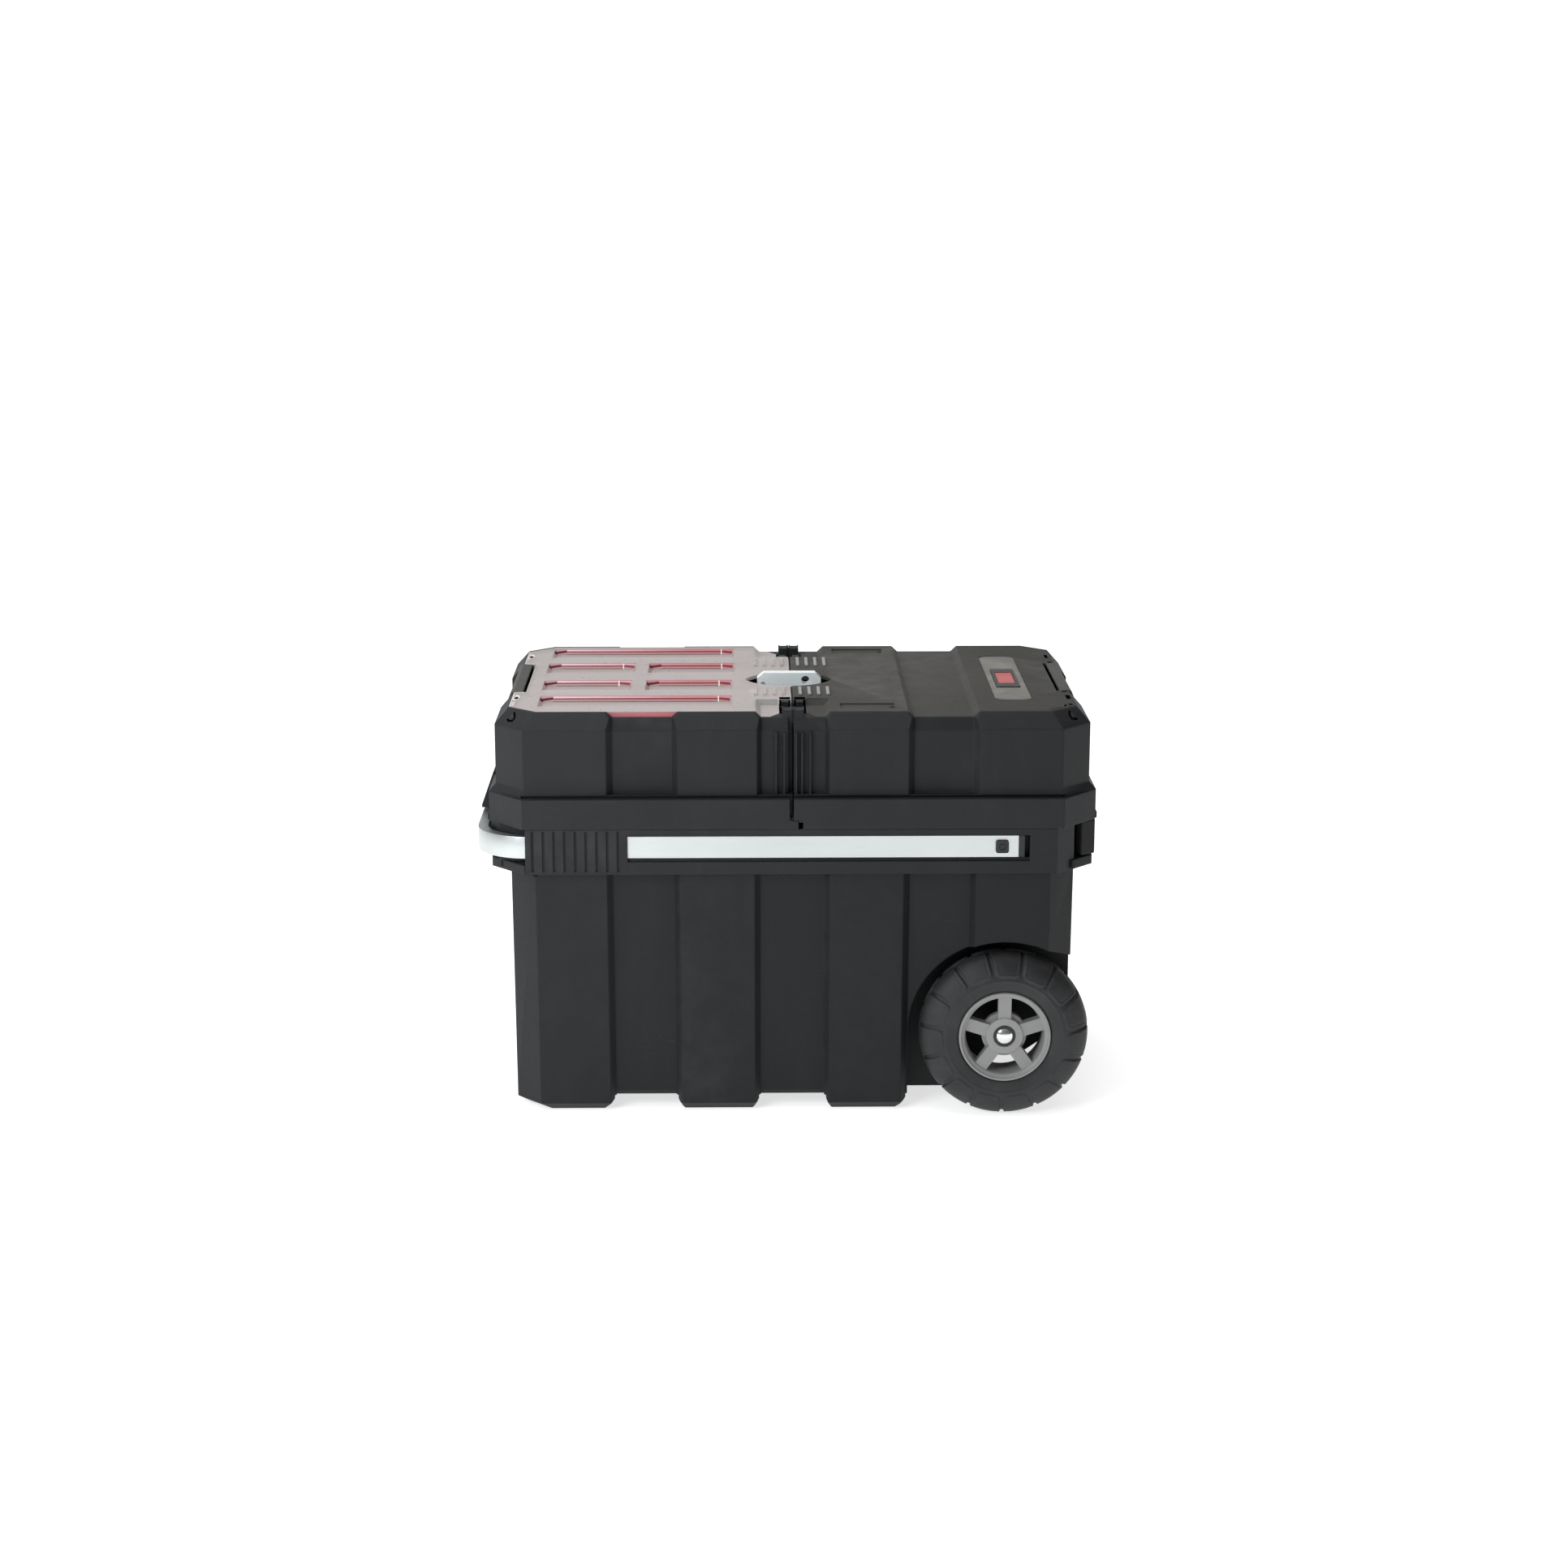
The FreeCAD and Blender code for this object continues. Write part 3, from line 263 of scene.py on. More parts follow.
M = {
    # the final factor on these mouldings darkens them towards the right: painted shade of the key light falling off
    "charcoal_plastic": plastic("charcoal", (0.0164, 0.0176, 0.0196), rough=0.52, bump=0.30, spec=0.24, edge_r=0.0022, painted_falloff=0.80),
    "bin_charcoal": plastic("bin_charcoal", (0.0125, 0.0136, 0.0150), rough=0.52, bump=0.30, spec=0.22, edge_r=0.0026, painted_falloff=0.64),
    "guide_charcoal": plastic("guide_charcoal", (0.0155, 0.0168, 0.0184), rough=0.50, bump=0.30, spec=0.24, edge_r=0.0012, painted_falloff=0.80),
    "latch_plastic": plastic("latch_black", (0.066, 0.066, 0.062), rough=0.46, bump=0.2, spec=0.2, edge_r=0.0012),
    "slider_plastic": plastic("slider_black", (0.012, 0.012, 0.013), rough=0.4, bump=0.15, spec=0.4),
    "lid_grey": plastic("lid_grained", (0.064, 0.0625, 0.0585), rough=0.62, grain=700.0, bump=0.7, tone=0.12, streak=0.12, spec=0.12, warm=(0.068, 0.0655, 0.060), edge_r=0.0010, tips=(0.40, 0.85), end=0.82),
    "plate_grey": plastic("plate_grey", (0.182, 0.173, 0.158), rough=0.55, grain=900.0, bump=0.25, tone=0.08, streak=0.04, scuff=0.1, spec=0.15),
    "rim_grey": plastic("rim_grey", (0.26, 0.26, 0.255), rough=0.42, grain=1200.0, bump=0.2, tone=0.10, streak=0.06, scuff=0.15, edge_wear_and_highlight=0.3),
    "zinc_steel": steel("zinc", (0.60, 0.67, 0.69), 0.42),
    # painted reflection: a base colour above 1 with metal almost off paints the zinc's bright reflection into the
    # hasp's colour
    "hasp": steel("hasp_zinc_painted_reflection", (1.03, 1.17, 1.18), 0.36, metal=0.05, tint=False),
    "chrome_cap": steel("cap_steel", (0.75, 0.76, 0.76), rough=0.16, tint=False, spangle=False),
    "tyre_rubber": rubber("tyre"),
    "pin_dark": plastic("pin_dark", (0.012, 0.012, 0.012), rough=0.6, spec=0.1),
    "aluminium_bar": aluminium("bar_aluminium"),
    "frame_black": gloss("frame_black", (0.022, 0.022, 0.022), 0.35),
    "badge_red": gloss("badge_red", (0.60, 0.115, 0.105), 0.3),
    "bin_red": gloss("bin_red", (0.50, 0.035, 0.045), 0.28),
    "clear_lid": clear_lid("clear_lid"),
}

slot_of = {s["node"]: s["material_slot"] for s in frame["record"]["subparts"]}


def soften(obj, width=0.0006, segments=2, angle=32.0):
    """Moulding radii on a carried-over node."""
    w = obj.modifiers.new("weld", "WELD")
    w.merge_threshold = 0.00002
    b = obj.modifiers.new("radius", "BEVEL")
    b.width = width
    b.segments = segments
    b.limit_method = "ANGLE"
    b.angle_limit = math.radians(angle)
    b.use_clamp_overlap = True
    b.harden_normals = True
    for p in obj.data.polygons:
        pass


WIDTHS = {"bin_shell": 0.0010, "bin_wheel_end": 0.0010, "left_tray": 0.0010, "right_tray": 0.0010, "handle_guide_front": 0.0006, "handle_guide_rear": 0.0006,
          "end_bumper": 0.0012, "left_latch": 0.0012, "right_latch": 0.0012, "left_lid": 0.0006, "right_lid": 0.0006,
          "wheel_rim_front": 0.0007, "wheel_rim_rear": 0.0007, "lock_hasp": 0.0007, "left_pull_hood": 0.0012}
SPECIAL = {"left_hinge_pins": "pin_dark", "right_hinge_pins": "pin_dark", "lock_hasp": "hasp", "lock_lug": "hasp", "hasp_bracket": "hasp", "bin_shell": "bin_charcoal", "bin_wheel_end": "bin_charcoal", "end_bumper": "bin_charcoal", "handle_corner_front": "bin_charcoal", "handle_corner_rear": "bin_charcoal",
           "handle_guide_front": "guide_charcoal", "handle_guide_rear": "guide_charcoal", "left_pull_hood": "guide_charcoal"}
for n, o in NODES.items():
    o.data.materials.clear()
    o.data.materials.append(M[SPECIAL.get(n, slot_of[n])])
    if "screw" not in n and "pin" not in n and "axle" not in n and n != "lock_hasp":
        soften(o, WIDTHS.get(n, 0.0004))

# ------------------------------------------------------------------ detail pieces
TOP = 408.5


def mm(x, y, z):
    """Drawing millimetres (measured from the split) to metres."""
    return ((x + 6.0) / 1000.0, y / 1000.0, z / 1000.0)


def make(name, verts, faces, mats, body, fmat=None, smooth=False):
    me = bpy.data.meshes.new(name)
    me.from_pydata([tuple(v) for v in verts], [], faces)
    for m in (mats if isinstance(mats, list) else [mats]):
        me.materials.append(m)
    if fmat:
        for p_, i in zip(me.polygons, fmat):
            p_.material_index = i
    bm = bmesh.new()
    bm.from_mesh(me)
    bmesh.ops.recalc_face_normals(bm, faces=bm.faces)
    bm.to_mesh(me)
    bm.free()
    if smooth:
        me.polygons.foreach_set("use_smooth", [True] * len(me.polygons))
    o = bpy.data.objects.new(name, me)
    bpy.context.collection.objects.link(o)
    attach(o, body)
    return o


def slab(face, normal, t):
    """A thin closed plate: face is a list of points (mm), raised by t along normal."""
    n = Vector(normal).normalized() * t
    a = [Vector(p_) for p_ in face]
    b = [q + n for q in a]
    k = len(a)
    v = [mm(*q) for q in a + b]
    f = [tuple(range(k))[::-1], tuple(range(k, 2 * k))]
    f += [(i, (i + 1) % k, k + (i + 1) % k, k + i) for i in range(k)]
    return v, f


def plates(name, items, body, bevel=0.0):
    """Several slabs as one piece; items are (face, normal, thickness, material)."""
    verts, faces, fm, mats = [], [], [], []
    for face, normal, t, mat in items:
        if mat not in mats:
            mats.append(mat)
        v, f = slab(face, normal, t)
        n0 = len(verts)
        verts += v
        faces += [tuple(n0 + i for i in q) for q in f]
        fm += [mats.index(mat)] * len(f)
    o = make(name, verts, faces, mats, body, fm)
    if bevel:
        b = o.modifiers.new("radius", "BEVEL")
        b.width = bevel
        b.segments = 2
    return o


def tint(name, left, right, rough=0.45, spec=0.3, x0=-0.235, x1=-0.10):
    """Clear plastic tinted by the red bins under it, redder towards the middle of the box; several of its uses are
    painted highlight or painted shade.
    """
    k = Mat(name)
    col = k.mix(k.along("X", x0, x1), left, right)
    col = k.mix(k.math("MULTIPLY", k.ramp(k.noise(90.0, 3.0, 0.6, k.mapping(scale=(0.3, 1, 1))), [(0.3, 0.0), (0.7, 1.0)]), 0.25), col, tuple(c * 0.8 for c in left))
    r = k.math("ADD", k.math("MULTIPLY", k.noise(300.0, 2.0), 0.15), rough - 0.07)
    k.set(Base_Color=col, Roughness=r, Normal=k.bump(k.noise(500.0, 2.0), 0.06, 0.0001))
    k.bsdf.inputs["Specular IOR Level"].default_value = spec
    return k.m


T_TOP = tint("trough_edge", (0.44, 0.25, 0.28), (0.44, 0.15, 0.17))
# painted highlight on the trough's far wall, fading to red towards the middle
T_PINK_HIGHLIGHT = tint("trough_pink_highlight", (0.82, 0.56, 0.60), (0.52, 0.16, 0.18))
T_DARK = tint("trough_dark", (0.26, 0.065, 0.085), (0.24, 0.025, 0.038), spec=0.08)
T_LOW = tint("trough_low", (0.36, 0.25, 0.25), (0.38, 0.20, 0.20))
T_LINE = tint("trough_line", (0.24, 0.12, 0.12), (0.22, 0.075, 0.075), spec=0.1)
T_HALO = tint("trough_halo", (0.60, 0.42, 0.43), (0.52, 0.33, 0.34))
# painted highlight: the near-white lines and edges on the clear lid
T_WHITE_HIGHLIGHT = tint("trough_white_highlight", (0.85, 0.76, 0.77), (0.85, 0.74, 0.75))
# painted shade: the dark mark where a trough's end wall turns away from the light
T_MARK_SHADE = tint("trough_mark_shade", (0.115, 0.018, 0.028), (0.12, 0.014, 0.020), spec=0.05)
T_BAND = tint("band_pink", (0.40, 0.135, 0.155), (0.46, 0.15, 0.15), x0=-0.17, x1=-0.11)
T_HAZE = tint("boss_haze", (0.62, 0.61, 0.60), (0.62, 0.61, 0.60))
# black sheets of painted shade, laid in pockets, slots, openings and recesses
SHADE_BLACK = gloss("recess_shade_black", (0.0012, 0.0012, 0.0012), 0.9, spec=0.0)
HINT = plastic("pale_grey_patch", (0.022, 0.022, 0.023), rough=0.5, spec=0.25)

TROUGHS = [("rear", 58, 249, 107, 154), ("mid_inner_rear", 57, 146, 25, 76), ("mid_outer_rear", 159, 250, 25, 76),
           ("mid_inner_front", 59, 146, -61, -13), ("mid_outer_front", 160, 249, -61, -13), ("front", 59, 248, -140, -90)]


def trough(name, x0, x1, y0, y1):
    """Coloured lining of one trough's far wall: the red bins show through its mouldings, with painted highlight and
    painted shade laid over them in bands.
    """
    xl, xr = -x1, -x0
    end = 3.0

    def at(x, v):
        """Point on the far wall: v 0 at the top edge, 1 at the floor."""
        return (x, y1 - 9.0 * v, TOP - 4.4 * v)

    def left(v):
        return xl + end * v + 0.25

    def right(v):
        return xr - end * v - 0.25

    nrm = (0, -4.4, 9.0)
    items = []

    def strip(xa, va0, va1, xb, vb0, vb1, mat, t=0.22):
        items.append(([at(xa, va0), at(xa, va1), at(xb, vb1), at(xb, vb0)], nrm, t, mat))

    e = 13.0
    strip(left(0.07), 0.01, 0.13, right(0.07), 0.01, 0.13, T_TOP)
    # main run: a pink band of painted highlight, then the darker bands below it
    strip(xl + e, 0.13, 0.40, xr - e - 1, 0.13, 0.40, T_PINK_HIGHLIGHT)
    strip(xl + e, 0.40, 0.62, xr - e - 1, 0.40, 0.62, T_DARK)
    strip(xl + e, 0.62, 0.90, xr - e - 1, 0.62, 0.90, T_LOW)
    strip(xl + e, 0.90, 0.995, xr - e - 1, 0.90, 0.995, T_LINE)
    # handle-end corner: a dark line of painted shade runs down to the floor
    strip(left(0.2), 0.13, 0.48, xl + e, 0.13, 0.26, T_TOP)
    strip(left(0.6), 0.48, 0.86, xl + e, 0.26, 0.62, T_MARK_SHADE)
    strip(left(0.9), 0.86, 0.995, xl + e, 0.62, 0.995, T_LOW)
    # a bright line of painted highlight, and the corner at the other end
    strip(xr - e - 1, 0.10, 0.98, xr - e + 0.1, 0.10, 0.98, T_WHITE_HIGHLIGHT, 0.26)
    strip(xr - e + 0.1, 0.13, 0.32, right(0.2), 0.13, 0.46, T_PINK_HIGHLIGHT)
    strip(xr - e + 0.1, 0.32, 0.66, right(0.6), 0.46, 0.84, T_DARK)
    strip(xr - e + 0.1, 0.66, 0.995, right(0.9), 0.84, 0.995, T_LOW)
    # the end wall carries the pink haze and a thin dark edge of painted shade
    b = TOP - 4.4
    lx = lambda u: xl + end * u + 0.06
    wall = [(lx(0.04), y1 - 0.5, TOP - 0.18), (lx(0.04), y0 + 0.6, TOP - 0.18), (lx(0.97), y0 + 9.0, b + 0.13), (lx(0.97), y1 - 8.8, b + 0.13)]
    items.append((wall, (4.4, 0, 3.0), 0.16, T_HALO))
    f = [(lx(0.30), y1 - 3.0, TOP - 4.4 * 0.30), (lx(0.10), y1 - 15.0, TOP - 4.4 * 0.10), (lx(0.28), y1 - 17.5, TOP - 4.4 * 0.28), (lx(0.97), y1 - 9.5, b + 0.13), (lx(0.97), y1 - 8.7, b + 0.13)]
    items.append((f, (4.4, 0, 3.0), 0.28, T_MARK_SHADE))
    return plates("lid_trough_" + name, items, "left_lid_body")


for t_ in TROUGHS:
    trough(*t_)

# the lid's front and back edges show the red bins where the tray wall is low, under a pale top strip of painted
# highlight
for nm, sy in (("front", -1), ("rear", 1)):
    y = sy * 164.62
    pts = [(-180.5, y, 400.6), (-110.8, y, 400.6), (-110.8, y, 408.1), (-180.5, y, 408.1)]
    hi = [(-180.5, y, 407.2), (-110.8, y, 407.2), (-110.8, y, 408.2), (-180.5, y, 408.2)]
    plates("lid_edge_" + nm, [([(q[0], q[1], min(q[2], 407.2)) for q in pts], (0, sy, 0), 0.22, T_BAND), (hi, (0, sy, 0), 0.24, T_TOP)], "left_lid_body")


def rect(x0, x1, y0, y1, z):
    return [(x0, y0, z), (x1, y0, z), (x1, y1, z), (x0, y1, z)]


def disc_piece(name, centre, r, h, mat, body, dot=None, dot_mat=None, n=20):
    """Low round boss with a rounded edge, and a small plug in its middle."""
    cx, cy, cz = centre
    rings = [(r, 0.0), (r, h * 0.55), (r * 0.93, h * 0.85), (r * 0.82, h)]
    v, f, fm = [], [], []
    for rr, hh in rings:
        v += [mm(cx + rr * math.cos(2 * math.pi * i / n), cy + rr * math.sin(2 * math.pi * i / n), cz + hh) for i in range(n)]
    for k in range(len(rings) - 1):
        for i in range(n):
            f.append((k * n + i, k * n + (i + 1) % n, (k + 1) * n + (i + 1) % n, (k + 1) * n + i))
            fm.append(0)
    f += [tuple(range(n))[::-1], tuple((len(rings) - 1) * n + i for i in range(n))]
    fm += [0, 0]
    mats = [mat]
    if dot:
        b0 = len(v)
        for rr, hh in ((dot, h - 0.05), (dot, h + 0.12)):
            v += [mm(cx + rr * math.cos(2 * math.pi * i / n), cy + rr * 0.7 * math.sin(2 * math.pi * i / n), cz + hh) for i in range(n)]
        for i in range(n):
            f.append((b0 + i, b0 + (i + 1) % n, b0 + n + (i + 1) % n, b0 + n + i))
        f += [tuple(b0 + i for i in range(n))[::-1], tuple(b0 + n + i for i in range(n))]
        fm += [1] * (n + 2)
        mats.append(dot_mat)
    return make(name, v, f, mats, body, fm)


# whitish ears of the clear lid beside the latch, their white a painted highlight, each with a small dark pocket of
# painted shade
def ear(name, cy):
    """Raised oblong ring with a plug in its middle; the ring is white as painted highlight and the plug black as
    painted shade.
    """
    verts, faces, fm = [], [], []
    n, cx, z0 = 24, -271.0, TOP - 0.05
    prof = [(3.9, 11.5, 0.0), (3.8, 11.3, 0.5), (3.2, 9.6, 0.62), (2.7, 8.0, 0.12)]
    for rx, ry, h in prof:
        verts += [mm(cx + rx * math.cos(2 * math.pi * i / n), cy + ry * math.sin(2 * math.pi * i / n), z0 + h) for i in range(n)]
    for k in range(len(prof) - 1):
        for i in range(n):
            faces.append((k * n + i, k * n + (i + 1) % n, (k + 1) * n + (i + 1) % n, (k + 1) * n + i))
            fm.append(0)
    faces += [tuple(range(n))[::-1], tuple((len(prof) - 1) * n + i for i in range(n))]
    fm += [0, 1]
    b0 = len(verts)
    for h, g in ((0.05, 1.0), (0.42, 1.0), (0.5, 0.8)):
        verts += [mm(cx + 0.4 + 1.9 * g * math.cos(2 * math.pi * i / n), cy - 2.2 + 4.2 * g * math.sin(2 * math.pi * i / n), z0 + h) for i in range(n)]
    for k in range(2):
        for i in range(n):
            faces.append((b0 + k * n + i, b0 + k * n + (i + 1) % n, b0 + (k + 1) * n + (i + 1) % n, b0 + (k + 1) * n + i))
            fm.append(2)
    faces += [tuple(b0 + i for i in range(n))[::-1], tuple(b0 + 2 * n + i for i in range(n))]
    fm += [2, 2]
    return make(name, verts, faces, [T_WHITE_HIGHLIGHT, T_HAZE, SHADE_BLACK], "left_lid_body", fm)


for nm, y in (("front", -98.5), ("rear", 111.0)):
    ear("left_lid_ear_" + nm, y)
# painted highlight along the moulded edges of the ears
z_ = TOP - 0.06
edges_ = []
for y0, y1 in ((72.2, 138.0), (-138.0, -72.2)):
    edges_.append((rect(-275.0, -274.2, y0, y1, z_), (0, 0, 1), 0.14, T_WHITE_HIGHLIGHT))
for y0, y1 in ((72.0, 73.6), (-73.6, -72.0)):
    edges_.append((rect(-274.2, -265.0, y0, y1, z_), (0, 0, 1), 0.14, T_WHITE_HIGHLIGHT))
edges_.append((rect(-273.8, -270.5, -136.5, -119.0, z_), (0, 0, 1), 0.13, T_HAZE))
plates("left_lid_ear_edges", edges_, "left_lid_body")

# seal between the two hinge towers, and the shade on the hinge knuckles
for nm, sy in (("front", -1), ("rear", 1)):
    v, f = [], []
    ring = [(-0.62, 150.9), (0.42, 150.9), (0.42, 166.2), (-0.62, 166.2)]
    for zz in (396.5, 409.2, 409.9):
        g = 1.0 if zz < 409.5 else 0.86
        v += [mm(-0.1 + (x + 0.1) * g, sy * (158.55 + (y - 158.55) * g), zz) for x, y in ring]
    f += [(0, 1, 2, 3), (8, 9, 10, 11)]
    for k in (0, 4):
        f += [(k + i, k + (i + 1) % 4, k + 4 + (i + 1) % 4, k + 4 + i) for i in range(4)]
    make("hinge_seal_" + nm, v, f, M["charcoal_plastic"], "left_module")
for nm, sx, bd in (("left", -1, "left_lid_body"), ("right", 1, "right_lid_body")):
    it = []
    for x0, x1 in ((1.9, 12.7),):
        it.append(([(sx * x0, -109.22, 401.4), (sx * x1, -109.22, 401.4), (sx * x1, -109.22, 407.9), (sx * x0, -109.22, 407.9)], (0, -1, 0), 0.14, SHADE_BLACK))
        it.append((rect(min(sx * x0, sx * x1), max(sx * x0, sx * x1), -108.8, -98.5, TOP - 0.06), (0, 0, 1), 0.12, SHADE_BLACK))
    plates(nm + "_hinge_shade", it, bd)


def lens_y(x):
    r = (44.0 ** 2 + 34.0 ** 2) / 68.0
    return -9.6 - (r - 34.0) + math.sqrt(max(r * r - (x + 2.3) ** 2, 0))


# the lids are thin at the lock recess: below their edge the far side is open, and the black plates and black floor
# there are painted shade
for nm, bd, slot, x0, x1 in (("left", "left_lid_body", "clear_lid", -45.6, -20.0), ("right", "right_lid_body", "lid_grey", 20.0, 41.0)):
    it = []
    n = 12
    for i in range(n):
        a, b = x0 + (x1 - x0) * i / n, x0 + (x1 - x0) * (i + 1) / n
        ya, yb = lens_y(a) - 0.05, lens_y(b) - 0.05
        f = [(a, ya, 400.4), (b, yb, 400.4), (b, yb, 405.0), (a, ya, 405.0)]
        nn = Vector((yb - ya, -(b - a), 0)).normalized()
        it.append((f, (nn.x, nn.y, 0), 0.14, SHADE_BLACK))
    plates(nm + "_lens_shade", it, bd)
    fl = [(x0 + (x1 - x0) * i / n, lens_y(x0 + (x1 - x0) * i / n) - 0.5) for i in range(n + 1)]
    low = [(x, -19.2 - y) for x, y in reversed(fl)]
    if nm == "left":
        pts = [q for q in fl + low if q[0] < -43.0 or True]
    else:
        pts = fl + low
    plates(nm + "_lens_floor", [([(x, y, 396.2) for x, y in pts], (0, 0, 1), 0.0 + 0.12, SHADE_BLACK)], nm + "_module")

# the steep inner wall of the dips by the hinge lies in shade
T_SHADE = tint("dip_shade", (0.30, 0.29, 0.29), (0.30, 0.29, 0.29), spec=0.1)
M_SHADE = plastic("dip_shade_grey", (0.036, 0.036, 0.036), rough=0.6, spec=0.1)
for nm, sx, bd, slot, mt in (("left", -1, "left_lid_body", "clear_lid", T_SHADE), ("right", 1, "right_lid_body", "lid_grey", M_SHADE)):
    a, b, c, d = (sx * 35.2, -105.6, TOP - 0.5), (sx * 14.0, -105.6, TOP - 0.5), (sx * 14.0, -110.9, TOP - 5.15), (sx * 30.6, -110.9, TOP - 5.15)
    plates(nm + "_dip_shade", [([a, b, c, d], (0, -5.3, 6.0), 0.14, mt)], bd)

# small moulded pockets beside the dark lid's latch, drawn as black plates of painted shade
# oblong pockets beside the dark lid's latch, painted shade as well
pocket_shades = []
for x0, x1, y0, y1 in ((268.9, 272.3, 98.4, 115.4), (269.0, 273.6, 72.0, 78.2), (268.0, 273.6, -76.6, -72.2), (269.4, 273.6, -111.0, -92.4), (268.2, 272.4, -139.6, -133.6)):
    pocket_shades.append((rect(x0, x1, y0, y1, TOP - 0.06), (0, 0, 1), 0.12, SHADE_BLACK))
pocket_shades.append(([(263.0, -146.2, TOP - 0.06), (265.8, -144.2, TOP - 0.06), (266.6, -137.4, TOP - 0.06), (264.0, -138.6, TOP - 0.06)], (0, 0, 1), 0.12, SHADE_BLACK))
pocket_shades.append(([(247.6, -159.4, TOP - 0.06), (259.6, -150.6, TOP - 0.06), (260.0, -149.0, TOP - 0.06), (247.8, -157.8, TOP - 0.06)], (0, 0, 1), 0.12, SHADE_BLACK))
plates("right_lid_pocket_shades", pocket_shades, "right_lid_body")

# ring stops at the inner ends of the two long slots; the black plug in each is painted shade
for nm, y in (("front", -140.0), ("rear", 140.0)):
    disc_piece("right_lid_slot_stop_" + nm, (95.6, y, TOP - 1.62), 2.6, 1.1, M["lid_grey"], "right_lid_body", 1.3, SHADE_BLACK)


# run of the hooked recess over the corner: share along the edge, share up the slope
HOOKS = {-1: [(0.654, 0.80), (0.562, 0.637), (0.511, 0.513), (0.522, 0.364), (0.641, 0.334), (0.713, 0.394)],
         1: [(0.607, 0.82), (0.54, 0.69), (0.50, 0.569), (0.497, 0.423), (0.564, 0.356), (0.665, 0.363)]}


def hook(name, cx, cy, body, flip):
    """Small hooked recess in the sloping corner of a tray, drawn as black plates of painted shade with a pale grey
    patch.
    """
    # the corner is a ruled surface between its lower and its upper edge
    sx = -1 if flip < 0 else 1
    pa, pb = Vector((sx * 259.5, -181.0, 393.5)), Vector((sx * 288.5, -150.0, 393.5))
    pc, pd = Vector((sx * 249.0, -168.4, TOP)), Vector((sx * 275.4, -144.0, TOP))

    def on(u, v):
        return pa.lerp(pb, u).lerp(pc.lerp(pd, u), v)

    def normal(u, v):
        q = (on(u + 0.01, v) - on(u - 0.01, v)).cross(on(u, v + 0.01) - on(u, v - 0.01)).normalized()
        return q if q.z > 0 else -q
    pts = HOOKS[sx]
    items = []
    w = 0.026
    for (u0, v0), (u1, v1) in zip(pts[:-1], pts[1:]):
        d = Vector((u1 - u0, (v1 - v0) * 0.5))
        q = Vector((-d.y, d.x * 2)).normalized() * w
        q = Vector((-d.y, d.x)).normalized()
        q = (q.x * w, q.y * w * 2)
        e = (d.normalized().x * w * 0.6, d.normalized().y * w * 1.2)
        quad = [(u0 - e[0] + q[0], v0 - e[1] + q[1]), (u0 - e[0] - q[0], v0 - e[1] - q[1]), (u1 + e[0] - q[0], v1 + e[1] - q[1]), (u1 + e[0] + q[0], v1 + e[1] + q[1])]
        nn = normal((u0 + u1) / 2, (v0 + v1) / 2)
        face = [tuple(on(a, b) - nn * 0.05) for a, b in quad]
        items.append((face, tuple(nn), 0.2, SHADE_BLACK))
    us, vs = [q[0] for q in pts], [q[1] for q in pts]
    a, b, c, d = (min(us) + 0.07, 0.50), (min(us) + 0.07, 0.70), (min(us) + 0.17, 0.72), (min(us) + 0.19, 0.50)
    nn = normal(0.6, 0.6)
    items.append(([tuple(on(*q) - nn * 0.06) for q in (a, b, c, d)], tuple(nn), 0.16, HINT))
    return plates(name, items, body)


# the latch's inner side lies in the shade of its slot
for nm, sx, bd in (("left", -1, "left_latch_body"), ("right", 1, "right_latch_body")):
    f = [(sx * 266.22, -69.8, 402.8), (sx * 266.22, 69.8, 402.8), (sx * 266.22, 69.8, 407.75), (sx * 266.22, -69.8, 407.75)]
    plates(nm + "_latch_shade", [(f, (-sx, 0, 0), 0.16, SHADE_BLACK)], bd)

hook("left_corner_hook", 0, 0, "left_module", -1)
hook("right_corner_hook", 0, 0, "right_module", 1)


